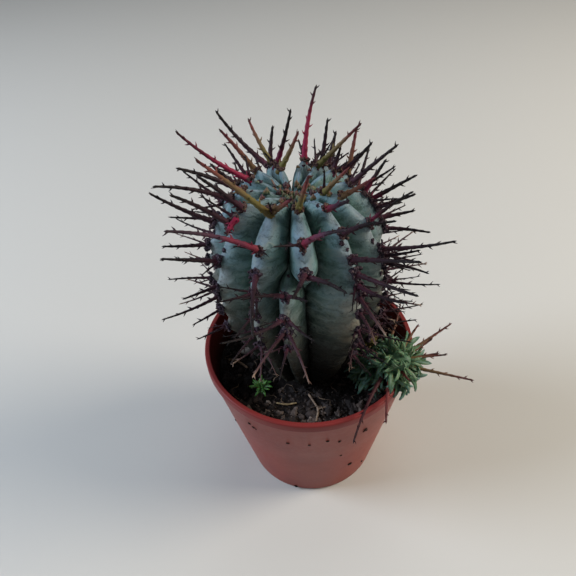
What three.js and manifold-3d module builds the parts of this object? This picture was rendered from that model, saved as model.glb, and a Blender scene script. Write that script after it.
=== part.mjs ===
// A young ribbed succulent with woody spines, standing in a small round plastic pot with an offset,
// a bud and a seedling beside it. Millimetres, +Z up. The origin is the middle of the pot's underside,
// and the side that is usually looked at faces -Y. Bearings are degrees round the pot from that side,
// positive towards +X.
import * as THREE from "three";
import { mergeVertices } from "three/addons/utils/BufferGeometryUtils.js";
import Module from "manifold-3d";

const wasm = await Module();
wasm.setup();

// ---------- driving dimensions ----------
const GAP = 0.3;
const leafRoot = 1;

const pot = {
  rimRadius: 42.5,
  height: 72,
  baseRadius: 29.4,
  wall: 1.2,
  lipHeight: 4,
  lipStep: 0.7,
  lipWidth: 2.1,
  floorThickness: 1.6,
  footRounding: 1.4,
  sides: 56,
  drainHoles: 5,
  drainHoleRadius: 3,
  drainCircleRadius: 18,
};

const soil = {
  top: 57.6,
  relief: 0.45,
  reliefWave: 34,
  rings: 5,
  sides: 40,
  lumps: 17,
  lumpRadius: [1.3, 2.4],
};

// The ribbed stem: meridians of a rib's crest and of the furrow beside it, each a list of
// [radius, height] from the round foot to the dimple in the crown.
const stem = {
  axisX: -1.2,
  lean: -0.02,
  footRadius: 12.6,
  crest: [
    [12.6, 50], [12.6, 59], [17.6, 64], [24, 78], [29.2, 93.5], [31, 110],
    [29.5, 124], [23.5, 137.5], [14, 144.5], [5.5, 142.5], [0, 140],
  ],
  furrow: [
    [12.6, 50], [12.6, 59], [14.6, 64], [17.9, 78], [21, 93.5], [21.8, 110],
    [19.5, 123], [14.5, 132], [9.5, 136.5], [4, 139.3], [0, 140],
  ],
  ribBearings: [3, 35, 64, 94, 121, 143, 165, 200, 224, 247, 271, 298, 331, 349],
  narrowRib: 0,
  narrowRibFades: [113, 130],
  narrowRibLeast: 0.06,
  forkRib: 13,
  forkRibStarts: [129, 120],
  ribRoundness: 1.7,
  samplesPerRib: 6,
  rings: 16,
  topRing: 0.97,
};

// Spines are dried flower stalks: tapered, with short bract stubs on alternate sides.
const spine = {
  sides: 3,
  sunk: 2.4,
  radius: 1.15,
  longFrom: 17,
  bracts: 2,
  bractSpacing: 5,
  bractLength: 1.9,
  bractRadius: 0.6,
  bractSpread: 50,
  areoleSpacing: 7.6,
  lowestAreole: 0.42,
  lowestAreoleRightFront: 0.33,
  highestAreole: 0.8,
  keepClearOfNeighbour: 5,
};

// The spines that stand out, each [rib, height along the rib, bearing, elevation, length].
// Height along the rib runs from 0 at the foot to 1 in the dimple.
const markedSpines = [
  // crown, back and left
  [6, 0.76, 155, 59, 26], [9, 0.79, -84, 44, 29], [7, 0.73, -119, 42, 27],
  [8, 0.77, -106, 53, 19], [7, 0.765, -137, 52, 18], [7, 0.79, 112, 71, 20],
  [7, 0.72, 165, 58, 15], [7, 0.83, 95, 63, 15], [9, 0.74, -100, 45, 12],
  // crown, right
  [5, 0.77, 152, 68, 16], [5, 0.8, 75, 49, 22], [4, 0.72, 153, 59, 17],
  [5, 0.73, 149, 57, 13], [4, 0.78, 127, 67, 9], [4, 0.75, 98, 44, 15],
  [3, 0.76, 82, 45, 21], [3, 0.71, 106, 56, 14], [3, 0.685, 88, 31, 18],
  [3, 0.66, 83, 23, 15], [3, 0.63, 83, 15, 13], [3, 0.6, 72, 2, 17],
  // right flank and front
  [2, 0.62, 62, 23, 26], [2, 0.6, 66, 24, 14], [2, 0.58, 52, 10, 17],
  [1, 0.65, 37, 30, 30], [1, 0.62, 33, 20, 28], [1, 0.59, 26, 26, 26],
  [1, 0.56, 14, 9, 22], [1, 0.51, 8, 12, 19], [2, 0.84, 30, 50, 18],
  [2, 0.78, 45, 44, 16], [1, 0.78, 30, 40, 15], [0, 0.71, 38, 40, 24],
  [1, 0.71, 32, 41, 20], [0, 0.8, 22, 64, 19], [0, 0.65, -15, 19, 19],
  [0, 0.64, 32, 22, 21],
  // front left and left flank
  [12, 0.79, 28, 43, 18], [12, 0.78, -56, 52, 34], [12, 0.69, -52, 38, 36],
  [12, 0.64, -2, 4, 28], [11, 0.76, -60, 52, 22], [11, 0.73, -5, 22, 19],
  [11, 0.71, -62, 46, 25], [11, 0.62, -63, 27, 21], [11, 0.55, -56, 8, 14],
  [11, 0.52, -58, 4, 22], [11, 0.48, -54, 0, 13], [10, 0.78, -66, 37, 25],
  [10, 0.74, -62, 30, 28], [10, 0.66, -92, 33, 24], [10, 0.6, -79, 10, 17],
  [10, 0.55, -87, 8, 18], [10, 0.49, -87, 5, 17],
  // the rib that starts in the fork of the front furrow
  [13, 0.59, -48, 32, 20], [13, 0.59, 32, 30, 14], [13, 0.54, -42, 25, 30],
  [13, 0.54, 28, 17, 18], [13, 0.5, -27, 9, 24], [13, 0.5, 15, -2, 22],
];

// The offset leans out over the rim. Its spines are given by their tips.
const offset = {
  axis: [[23.5, -9.5, 49], [23.5, -9.5, 58], [26, -13.2, 66], [30, -18.2, 75], [35.6, -23.6, 82.5]],
  radii: [3.1, 3.1, 4.4, 5.1, 6.2],
  sides: 18,
  rings: 9,
  ribs: 9,
  ribDepth: 0.12,
  leaves: 36,
  leafLength: [4.2, 6],
  leafWidth: 2,
  leafThickness: 0.8,
  leafTurn: 137.5,
  reach: 12.2,
  spineRadius: 0.95,
  spineTips: [
    [55.3, -8.4, 84], [42.4, -8.6, 85], [39.2, 8.4, 80], [47.2, -12.9, 81], [48.7, -18.6, 79],
    [51.6, -19.3, 78.5], [57.8, -32, 78.6], [24.2, -44.3, 73.6], [11.7, -51.2, 73.8], [34.6, -30.4, 79],
  ],
  spineRoots: [0.8, 0.84, 0.5, 0.82, 0.76, 0.78, 0.74, 0.8, 0.8, 0.8],
};

const bud = {
  foot: [26.4, 5.2],
  footRadius: 2,
  radius: 3.6,
  height: 9,
  spineRadius: 0.8,
  spineTips: [[27.6, 8.6, 77], [23.4, 8.8, 71.5], [29.8, 3.9, 72.5], [25.4, 2.2, 73]],
};

const sprout = { foot: [-20.4, -13.8], radius: 1.3, height: 2.6, leaves: 7, leafLength: 5.2 };

const litter = {
  root: { radius: 0.5, points: [[-1.4, -18.4], [0.4, -22.8], [1.7, -26.7], [0.5, -32]] },
  rootBranch: { radius: 0.42, points: [[1.6, -26.2], [4.4, -25.6], [7.4, -24.6]] },
  twig: { radius: 0.6, points: [[-34.2, 1.7], [-30.3, 0.3], [-26, -3.4]] },
  straw: { radius: 0.42, points: [[-14.6, -21.2], [-10.6, -22.4], [-6.4, -22.2]] },
  pebble: { place: [-27.2, 5.6], radius: 2 },
  halfSides: 3,
  lift: 0.35,
};

const colours = {
  pot: 0xa8503f,
  soil: 0x2b211d,
  stem: 0x5f8079,
  offset: 0x55805f,
  bud: 0x77805a,
  sprout: 0x5f9a3c,
  root: 0xb99a84,
  twig: 0x8a6a52,
  straw: 0xc2ab86,
  pebble: 0x8d8a86,
};

// ---------- small helpers ----------
const UP = new THREE.Vector3(0, 1, 0);
const radians = THREE.MathUtils.degToRad;
const mix = THREE.MathUtils.lerp;
const smooth = (value, from, to) => {
  const k = Math.min(Math.max((value - from) / (to - from), 0), 1);
  return k * k * (3 - 2 * k);
};

// A repeatable stream of numbers between 0 and 1.
function randomStream(seed) {
  let state = seed;
  return () => {
    state = (state * 16807) % 2147483647;
    return state / 2147483647;
  };
}

const throughPoints = (points) => new THREE.CatmullRomCurve3(
  points.map((p) => new THREE.Vector3(p[0], p[1], p[2] ?? 0)), false, "catmullrom", 0.5);

function direction(bearing, elevation) {
  const flat = Math.cos(radians(elevation));
  return new THREE.Vector3(
    flat * Math.sin(radians(bearing)), -flat * Math.cos(radians(bearing)), Math.sin(radians(elevation)));
}

function bare(geometry) {
  geometry.deleteAttribute("normal");
  geometry.deleteAttribute("uv");
  return mergeVertices(geometry, 1e-4);
}

function toSolid(geometry) {
  const closed = bare(geometry);
  return new wasm.Manifold(new wasm.Mesh({
    numProp: 3,
    vertProperties: new Float32Array(closed.attributes.position.array),
    triVerts: new Uint32Array(closed.index.array),
  }));
}

function toGeometry(solid) {
  const mesh = solid.getMesh();
  const geometry = new THREE.BufferGeometry();
  geometry.setAttribute("position", new THREE.BufferAttribute(new Float32Array(mesh.vertProperties), 3));
  geometry.setIndex(new THREE.BufferAttribute(new Uint32Array(mesh.triVerts), 1));
  return geometry;
}

// Joins solids two by two, so that each join stays small.
function joinAll(solids) {
  let row = solids;
  while (row.length > 1) {
    const next = [];
    for (let i = 0; i < row.length; i += 2) {
      next.push(i + 1 < row.length ? row[i].add(row[i + 1]) : row[i]);
    }
    row = next;
  }
  return row[0];
}

// A pointed spike from one point to another. Its root is always sunk into another solid.
function spike(from, to, radius, sides) {
  const along = to.clone().sub(from);
  const geometry = new THREE.ConeGeometry(radius, along.length(), sides, 1);
  geometry.translate(0, along.length() / 2, 0);
  geometry.applyQuaternion(new THREE.Quaternion().setFromUnitVectors(UP, along.normalize()));
  return geometry.translate(from.x, from.y, from.z);
}

// ---------- pot ----------
const innerLipRadius = pot.rimRadius - pot.lipWidth;
const outerUnderLip = pot.rimRadius - pot.lipStep;
const innerFloorRadius = pot.baseRadius - pot.wall;

function innerWallRadius(height) {
  const k = (height - pot.floorThickness) / (pot.height - pot.lipHeight - pot.floorThickness);
  return mix(innerFloorRadius, innerLipRadius - 0.1, Math.min(k, 1));
}

function potSolid() {
  const lipFoot = pot.height - pot.lipHeight;
  const r = pot.footRounding;
  const outline = [
    [0, 0],
    [pot.baseRadius - r, 0],
    [pot.baseRadius - r * 0.3, r * 0.3],
    [pot.baseRadius + 0.25, r],
    [outerUnderLip, lipFoot],
    [pot.rimRadius - 0.1, lipFoot + 0.4],
    [pot.rimRadius, pot.height - 0.5],
    [pot.rimRadius - 0.5, pot.height],
    [innerLipRadius + 0.3, pot.height],
    [innerLipRadius, pot.height - 0.4],
    [innerWallRadius(lipFoot), lipFoot],
    [innerFloorRadius, pot.floorThickness],
    [0, pot.floorThickness],
  ].map(([x, y]) => new THREE.Vector2(x, y));
  let solid = toSolid(new THREE.LatheGeometry(outline, pot.sides).rotateX(Math.PI / 2));
  for (let i = 0; i < pot.drainHoles; i += 1) {
    const angle = (2 * Math.PI * (i + 0.5)) / pot.drainHoles;
    const drill = new THREE.CylinderGeometry(pot.drainHoleRadius, pot.drainHoleRadius, 8, 16);
    drill.rotateX(Math.PI / 2);
    drill.translate(pot.drainCircleRadius * Math.cos(angle), pot.drainCircleRadius * Math.sin(angle), 0);
    solid = solid.subtract(toSolid(drill));
  }
  return solid;
}

// ---------- soil ----------
function soilHeight(x, y) {
  const k = (2 * Math.PI) / soil.reliefWave;
  const level = smooth(Math.hypot(x - stem.axisX, y), stem.footRadius + 1, stem.footRadius + 7);
  return soil.top + level * soil.relief * (Math.sin(k * x + 1.3) + Math.cos(k * y * 1.1));
}

const stemFoot = new THREE.Vector2(stem.axisX, 0);
const plantHoles = [
  { place: stemFoot, radius: stem.footRadius + 0.5 },
  { place: new THREE.Vector2(offset.axis[0][0], offset.axis[0][1]), radius: offset.radii[0] + 0.5 },
  { place: new THREE.Vector2(...bud.foot), radius: bud.footRadius + 0.45 },
  { place: new THREE.Vector2(...sprout.foot), radius: sprout.radius + 0.45 },
];
const litterLines = [litter.root, litter.rootBranch, litter.twig, litter.straw].map((l) => l.points);

// Whether a lump of the given radius would lie clear of the plants' holes and of the litter.
function lumpFits(place, radius) {
  const clearOfHoles = plantHoles.every((h) => h.place.distanceTo(place) > h.radius + radius + 1.5);
  const clearOfLitter = litterLines.every((points) => throughPoints(points).getPoints(8)
    .every((p) => Math.hypot(p.x - place.x, p.y - place.y) > radius + 1.4));
  const pebbleGap = Math.hypot(litter.pebble.place[0] - place.x, litter.pebble.place[1] - place.y);
  return clearOfHoles && clearOfLitter && pebbleGap > radius + litter.pebble.radius + 0.8;
}

function soilSolid() {
  const bottom = pot.floorThickness + GAP;
  const rim = innerWallRadius(soil.top) - GAP - 0.15;
  const outline = [
    new THREE.Vector2(0, bottom),
    new THREE.Vector2(innerFloorRadius - GAP - 0.1, bottom),
  ];
  for (let i = soil.rings; i >= 0; i -= 1) {
    outline.push(new THREE.Vector2((rim * i) / soil.rings, soil.top));
  }
  const body = new THREE.LatheGeometry(outline, soil.sides).rotateX(Math.PI / 2);
  const position = body.attributes.position;
  for (let i = 0; i < position.count; i += 1) {
    if (position.getZ(i) > bottom + 1) position.setZ(i, soilHeight(position.getX(i), position.getY(i)));
  }
  const random = randomStream(5171);
  const pieces = [toSolid(body)];
  let placed = 0;
  while (placed < soil.lumps) {
    const radius = mix(soil.lumpRadius[0], soil.lumpRadius[1], random());
    const reach = mix(15, rim - radius - 1, Math.sqrt(random()));
    const bearing = radians(360 * random());
    const place = new THREE.Vector2(reach * Math.sin(bearing), -reach * Math.cos(bearing));
    const turn = 6 * random();
    if (!lumpFits(place, radius)) continue;
    const lump = new THREE.IcosahedronGeometry(radius, 0).scale(1, 0.8, 0.7).rotateZ(turn).rotateX(turn);
    pieces.push(toSolid(lump.translate(place.x, place.y, soilHeight(place.x, place.y) - 0.1 * radius)));
    placed += 1;
  }
  let solid = joinAll(pieces);
  for (const hole of plantHoles) {
    const depth = hole.radius > stem.footRadius ? 8.2 : 9.5;
    const drill = new THREE.CylinderGeometry(hole.radius, hole.radius, 2 * depth, 28).rotateX(Math.PI / 2);
    solid = solid.subtract(toSolid(drill.translate(hole.place.x, hole.place.y, soil.top)));
  }
  return solid;
}

// ---------- ribbed stem ----------
const crestCurve = throughPoints(stem.crest);
const furrowCurve = throughPoints(stem.furrow);
const ribCount = stem.ribBearings.length;

// How far a rib stands out at a height: 1 is a full rib and 0 is none.
function ribStrength(rib, height) {
  if (rib === stem.narrowRib) {
    return mix(stem.narrowRibLeast, 1, smooth(height, ...stem.narrowRibFades));
  }
  if (rib === stem.forkRib) return 1 - smooth(height, stem.forkRibStarts[1], stem.forkRibStarts[0]);
  return 1;
}

// The bearing of the furrow between a rib and the next one. A weak rib is a narrow one.
function furrowBearing(rib, height) {
  const next = (rib + 1) % ribCount;
  const here = stem.ribBearings[rib];
  const there = stem.ribBearings[next] + (next < rib ? 360 : 0);
  const strengthHere = ribStrength(rib, height);
  const strengthThere = ribStrength(next, height);
  return (here * strengthThere + there * strengthHere) / (strengthHere + strengthThere);
}

// A point of the stem's skin. across runs over one rib from furrow (0) to furrow (1).
function stemPoint(rib, across, along) {
  const crest = crestCurve.getPoint(along);
  const furrow = furrowCurve.getPoint(along);
  const previous = (rib + ribCount - 1) % ribCount;
  const middle = stem.ribBearings[rib];
  const left = furrowBearing(previous, crest.y) - (previous > rib ? 360 : 0);
  const right = furrowBearing(rib, crest.y);
  const side = 2 * across - 1;
  const bearing = radians(side < 0 ? mix(middle, left, -side) : mix(middle, right, side));
  const rise = ribStrength(rib, crest.y) * (1 - Math.abs(side) ** stem.ribRoundness);
  const radius = mix(furrow.x, crest.x, rise);
  const height = mix(furrow.y, crest.y, rise);
  return new THREE.Vector3(
    stem.axisX + stem.lean * (height - 58) + radius * Math.sin(bearing),
    -radius * Math.cos(bearing), height);
}

function stemBody() {
  const columns = ribCount * stem.samplesPerRib;
  const body = new THREE.SphereGeometry(1, columns, stem.rings + 1);
  const position = body.attributes.position;
  for (let row = 0; row <= stem.rings + 1; row += 1) {
    const along = mix(stem.topRing, 0, (row - 1) / (stem.rings - 1));
    for (let column = 0; column <= columns; column += 1) {
      const place = column % columns;
      const rib = Math.floor(place / stem.samplesPerRib);
      const across = (place % stem.samplesPerRib) / stem.samplesPerRib;
      let point = stemPoint(rib, across, Math.min(Math.max(along, 0), stem.topRing));
      if (row === 0) point = stemPoint(0, 0, 1);
      if (row === stem.rings + 1) point = new THREE.Vector3(stem.axisX, 0, stem.crest[0][1]);
      position.setXYZ(row * (columns + 1) + column, point.x, point.y, point.z);
    }
  }
  return toSolid(body);
}

// ---------- spines ----------
const toPoint = (list) => new THREE.Vector3(...list);
const offsetCurve = throughPoints(offset.axis);

const offsetSpineLines = offset.spineTips.map((tip, i) => (
  new THREE.Line3(offsetCurve.getPoint(offset.spineRoots[i]), toPoint(tip))));

// Whether a point with room around it lies clear of the pot, the soil and the smaller plants.
function isClear(point, room) {
  const fromAxis = Math.hypot(point.x, point.y);
  const besideWall = point.z < pot.height + room + 0.7;
  if (point.z < soil.top + 2 + room) return false;
  if (besideWall && fromAxis > innerWallRadius(point.z) - room - 0.8) return false;
  const nearest = new THREE.Vector3();
  for (let i = 0; i <= 8; i += 1) {
    offsetCurve.getPoint(0.2 + 0.1 * i, nearest);
    if (nearest.distanceTo(point) < offset.reach + room) return false;
  }
  if (toPoint([...bud.foot, soil.top + bud.height]).distanceTo(point) < 8 + room) return false;
  for (const tip of bud.spineTips) {
    if (toPoint(tip).distanceTo(point) < 2.5 + room) return false;
  }
  if (toPoint([...sprout.foot, soil.top + 2]).distanceTo(point) < 8 + room) return false;
  return offsetSpineLines.every((line) => (
    line.closestPointToPoint(point, true, nearest).distanceTo(point) > 1.1 + room));
}

function spineIsClear(root, heading, length) {
  for (let i = 0; i <= 12; i += 1) {
    const k = 0.12 + (0.88 * i) / 12;
    if (!isClear(root.clone().addScaledVector(heading, k * length), spine.radius)) return false;
  }
  return true;
}

// Which way the crest of a rib faces at a height, as an elevation in degrees.
function crestElevation(along) {
  const tangent = crestCurve.getPoint(along + 0.01).sub(crestCurve.getPoint(along - 0.01));
  return THREE.MathUtils.radToDeg(Math.atan2(-tangent.x, tangent.y));
}

// Every spine of the stem as { root, heading, length, bracts, thickness }.
function allSpines() {
  const list = [];
  const place = (rib, along, bearing, elevation, length, bracts, thickness) => {
    const root = stemPoint(rib, 0.5, along);
    for (const [shorter, lift] of [[1, 0], [0.85, 8], [0.7, 16], [0.55, 26]]) {
      const heading = direction(bearing, elevation + lift);
      if (!spineIsClear(root, heading, length * shorter)) continue;
      list.push({ root, heading, length: length * shorter, bracts, thickness });
      return;
    }
  };
  for (const [rib, along, bearing, elevation, length] of markedSpines) {
    place(rib, along, bearing, elevation, length, length < spine.longFrom ? 0 : spine.bracts, 1);
  }
  const random = randomStream(20731);
  for (let rib = 0; rib < ribCount; rib += 1) {
    let travelled = spine.areoleSpacing * random();
    const lowest = rib > 0 && rib < 4 ? spine.lowestAreoleRightFront : spine.lowestAreole;
    let last = crestCurve.getPoint(lowest);
    for (let along = lowest; along < spine.highestAreole; along += 0.002) {
      const here = crestCurve.getPoint(along);
      travelled += here.distanceTo(last);
      last = here;
      if (travelled < spine.areoleSpacing) continue;
      travelled = 0;
      const draws = [random(), random(), random(), random(), random()];
      if (ribStrength(rib, here.y) < 0.6) continue;
      const taken = markedSpines.some(([otherRib, otherAlong]) => otherRib === rib
        && crestCurve.getPoint(otherAlong).distanceTo(here) < spine.keepClearOfNeighbour);
      if (taken) continue;
      const young = smooth(along, 0.7, 0.86);
      const low = 1 - smooth(along, 0.3, 0.45);
      const length = mix(mix(13, 10, young), 9, low) + 7 * draws[0];
      const elevation = mix(crestElevation(along) * 0.8 + 6, 50, 0.5 * young) + 14 * (draws[1] - 0.5);
      const pair = draws[2] < 0.55;
      const spread = pair ? 24 + 14 * draws[3] : 10 * (draws[3] - 0.5);
      const bearing = stem.ribBearings[rib];
      place(rib, along, bearing + spread, elevation, length, 0, 0.8);
      const twinElevation = elevation + 10 * (draws[4] - 0.5);
      if (pair) place(rib, along, bearing - spread, twinElevation, length * 0.85, 0, 0.72);
    }
  }
  return list;
}

function spineSolids({ root, heading, length, bracts, thickness }) {
  const start = root.clone().addScaledVector(heading, -spine.sunk);
  const end = root.clone().addScaledVector(heading, length);
  const solids = [toSolid(spike(start, end, spine.radius * thickness, spine.sides))];
  const side = new THREE.Vector3().crossVectors(heading, new THREE.Vector3(0, 0, 1)).normalize();
  const spread = radians(spine.bractSpread);
  for (let i = 0; i < bracts; i += 1) {
    const at = root.clone().addScaledVector(heading, length - 2.6 - spine.bractSpacing * i);
    const turn = i * 2.4;
    const outward = side.clone().applyAxisAngle(heading, turn);
    const bract = heading.clone().multiplyScalar(Math.cos(spread));
    bract.addScaledVector(outward, Math.sin(spread));
    const bractTip = at.clone().addScaledVector(bract, spine.bractLength);
    solids.push(toSolid(spike(at, bractTip, spine.bractRadius, spine.sides)));
  }
  return solids;
}

function mainStemSolid() {
  return joinAll([stemBody(), ...allSpines().flatMap(spineSolids)]);
}

// ---------- leaves ----------
// A thick narrow leaf from its foot, widest past its middle and curving back on itself.
function leafSolid(foot, heading, length, width, thickness, curl) {
  const leaf = new THREE.ConeGeometry(1, 1, 4, 2);
  const position = leaf.attributes.position;
  for (let i = 0; i < position.count; i += 1) {
    const k = position.getY(i) + 0.5;
    const wide = k > 0.4 && k < 0.6;
    const reach = wide ? 0.62 : k;
    const x = position.getX(i) * width * (wide ? 1 : 0.3);
    const z = position.getZ(i) * thickness * (wide ? 1 : 0.45);
    position.setXYZ(i, x, mix(-leafRoot, length, reach), z - curl * length * reach * reach);
  }
  const across = new THREE.Vector3().crossVectors(heading, new THREE.Vector3(0, 0, 1)).normalize();
  const face = new THREE.Vector3().crossVectors(across, heading).normalize();
  leaf.applyMatrix4(new THREE.Matrix4().makeBasis(across, heading, face));
  return toSolid(leaf.translate(foot.x, foot.y, foot.z));
}

// ---------- offset ----------
function offsetRadius(along) {
  const row = offset.radii;
  const place = Math.min(along, 0.9999) * (row.length - 1);
  const i = Math.floor(place);
  const plain = mix(row[i], row[i + 1], place - i);
  return plain * Math.sqrt(Math.max(1 - smooth(along, 0.8, 1.02) ** 1.3, 0));
}

// A frame that stands square to the offset's axis: the point, the axis and two directions across it.
function offsetFrame(along) {
  const centre = offsetCurve.getPoint(along);
  const axis = offsetCurve.getTangent(along);
  const across = new THREE.Vector3(0, 1, 0).cross(axis).normalize();
  return { centre, axis, across, over: axis.clone().cross(across).normalize() };
}

function offsetPoint(turn, along) {
  const { centre, across, over } = offsetFrame(along);
  const ribbed = smooth(along, 0.25, 0.45);
  const hollow = offset.ribDepth * ribbed * Math.sin((offset.ribs * turn) / 2) ** 2;
  const radius = offsetRadius(along) * (1 - hollow);
  centre.addScaledVector(across, radius * Math.cos(turn));
  return centre.addScaledVector(over, radius * Math.sin(turn));
}

function offsetBody() {
  const body = new THREE.SphereGeometry(1, offset.sides, offset.rings + 1);
  const position = body.attributes.position;
  const wide = offset.sides + 1;
  for (let i = 0; i < position.count; i += 1) {
    const row = Math.floor(i / wide);
    const turn = (2 * Math.PI * ((i % wide) % offset.sides)) / offset.sides;
    const along = Math.min(Math.max(1 - (row - 1) / (offset.rings - 1), 0), 1);
    let point = offsetPoint(turn, along);
    if (row === 0) point = offsetCurve.getPoint(1).addScaledVector(offsetCurve.getTangent(1), 0.3);
    if (row === offset.rings + 1) point = offsetCurve.getPoint(0);
    position.setXYZ(i, point.x, point.y, point.z);
  }
  return toSolid(body);
}

// Leaves stand in a spiral, thickest round the growing tip, and stay clear of the rim and the bud.
function offsetLeaves() {
  const solids = [];
  const random = randomStream(913);
  for (let i = 0; i < offset.leaves; i += 1) {
    const along = mix(0.52, 0.97, Math.sqrt((i + 0.5) / offset.leaves));
    const turn = radians(offset.leafTurn) * i;
    const { centre, axis } = offsetFrame(along);
    const foot = offsetPoint(turn, along);
    const outward = foot.clone().sub(centre).normalize();
    const lean = mix(0.25, 1.3, smooth(along, 0.6, 1));
    const heading = outward.addScaledVector(axis, lean).normalize();
    const length = mix(offset.leafLength[0], offset.leafLength[1], random());
    const tip = foot.clone().addScaledVector(heading, length);
    const overRim = Math.hypot(tip.x, tip.y) > innerLipRadius - 2.2;
    if (overRim && Math.min(foot.z, tip.z) < pot.height + 2.4) continue;
    if (tip.distanceTo(toPoint([...bud.foot, soil.top + bud.height])) < bud.radius + 5) continue;
    solids.push(leafSolid(foot, heading, length, offset.leafWidth, offset.leafThickness, 0.12));
  }
  return solids;
}

// A young spine of the offset or the bud, with one bract below its tip.
function youngSpine(root, tip, radius) {
  const heading = tip.clone().sub(root).normalize();
  const side = heading.clone().cross(new THREE.Vector3(0, 0, 1)).normalize();
  const fork = tip.clone().addScaledVector(heading, -2.6);
  const bractTip = fork.clone().addScaledVector(heading, 1).addScaledVector(side, 1.3);
  return [toSolid(spike(root, tip, radius, 3)), toSolid(spike(fork, bractTip, 0.5, 3))];
}

function offsetSolid() {
  const spines = offsetSpineLines.flatMap((line) => youngSpine(line.start, line.end, offset.spineRadius));
  return joinAll([offsetBody(), ...offsetLeaves(), ...spines]);
}

// ---------- bud and sprout ----------
function budSolid() {
  const base = soil.top - 8;
  const outline = [
    [0, base], [bud.footRadius, base], [bud.footRadius, soil.top + 1.2],
    [bud.radius * 0.86, soil.top + bud.height * 0.4], [bud.radius, soil.top + bud.height * 0.65],
    [bud.radius * 0.78, soil.top + bud.height * 0.93], [bud.radius * 0.34, soil.top + bud.height * 1.08],
    [0, soil.top + bud.height * 1.1],
  ].map(([x, y]) => new THREE.Vector2(x, y));
  const body = new THREE.LatheGeometry(outline, 12).rotateX(Math.PI / 2).translate(...bud.foot, 0);
  const heart = toPoint([...bud.foot, soil.top + bud.height * 0.6]);
  const spines = bud.spineTips.flatMap((tip) => youngSpine(heart, toPoint(tip), bud.spineRadius));
  return joinAll([toSolid(body), ...spines]);
}

function sproutSolid() {
  const outline = [
    [0, soil.top - 7], [sprout.radius, soil.top - 7], [sprout.radius, soil.top + sprout.height * 0.7],
    [0, soil.top + sprout.height],
  ].map(([x, y]) => new THREE.Vector2(x, y));
  const body = new THREE.LatheGeometry(outline, 10).rotateX(Math.PI / 2).translate(...sprout.foot, 0);
  const foot = toPoint([...sprout.foot, soil.top + sprout.height * 0.6]);
  const solids = [toSolid(body)];
  for (let i = 0; i < sprout.leaves; i += 1) {
    const bearing = 360 * (i / sprout.leaves) + 17;
    const heading = direction(bearing, i % 2 ? 38 : 22);
    solids.push(leafSolid(foot, heading, sprout.leafLength, 1.5, 0.8, 0.06));
  }
  return joinAll(solids);
}

// ---------- litter on the soil ----------
function litterPath({ points, radius }) {
  return throughPoints(points.map(([x, y]) => [x, y, soilHeight(x, y) + radius + litter.lift]));
}

function stick(line) {
  const section = new THREE.Shape().absarc(0, 0, line.radius, 0, 2 * Math.PI);
  const path = litterPath(line);
  const tube = new THREE.ExtrudeGeometry(section, {
    steps: 3 * line.points.length, curveSegments: litter.halfSides, extrudePath: path, bevelEnabled: false,
  });
  return toSolid(tube);
}

function pebbleGeometry() {
  const [x, y] = litter.pebble.place;
  const stone = new THREE.IcosahedronGeometry(litter.pebble.radius, 1).scale(1.2, 0.95, 0.7);
  return stone.translate(x, y, soilHeight(x, y) + 0.7 * litter.pebble.radius + litter.lift);
}

// ---------- the whole object ----------
const object = new THREE.Group();

function addPiece(name, solid, colour, roughness) {
  const material = new THREE.MeshStandardMaterial({ color: colour, roughness, metalness: 0 });
  const mesh = new THREE.Mesh(toGeometry(solid), material);
  mesh.name = name;
  object.add(mesh);
}

addPiece("pot", potSolid(), colours.pot, 0.5);
addPiece("potting_soil", soilSolid(), colours.soil, 1);
addPiece("main_stem", mainStemSolid(), colours.stem, 0.7);
addPiece("offset_stem", offsetSolid(), colours.offset, 0.6);
addPiece("bud", budSolid(), colours.bud, 0.6);
addPiece("sprout", sproutSolid(), colours.sprout, 0.6);
addPiece("forked_root", stick(litter.root).add(stick(litter.rootBranch)), colours.root, 0.9);
addPiece("dry_twig", stick(litter.twig), colours.twig, 0.9);
addPiece("dry_straw", stick(litter.straw), colours.straw, 0.9);
addPiece("grey_pebble", toSolid(pebbleGeometry()), colours.pebble, 0.9);

export default object;
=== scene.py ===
# %% [markdown]
# # A young euphorbia in a nursery pot
#
# The plant is a ribbed, blue-green column set with woody stalks, in a thin terracotta-coloured
# plastic pot. An offset leans over the rim, a bud and a seedling stand beside it, and a little
# litter lies on the mix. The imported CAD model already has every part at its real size, so this
# lesson builds a finer piece over each of its nodes and gives it a finish.
#
# Lengths are in millimetres while a piece is modelled. The last step turns it into metres, so a
# number here can be held against a ruler. Bearings are degrees round the pot from its front (-Y),
# positive towards +X, as in the CAD source.

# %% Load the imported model
import math
from random import Random

import bmesh
import bpy
from mathutils import Matrix, Vector, noise


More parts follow.
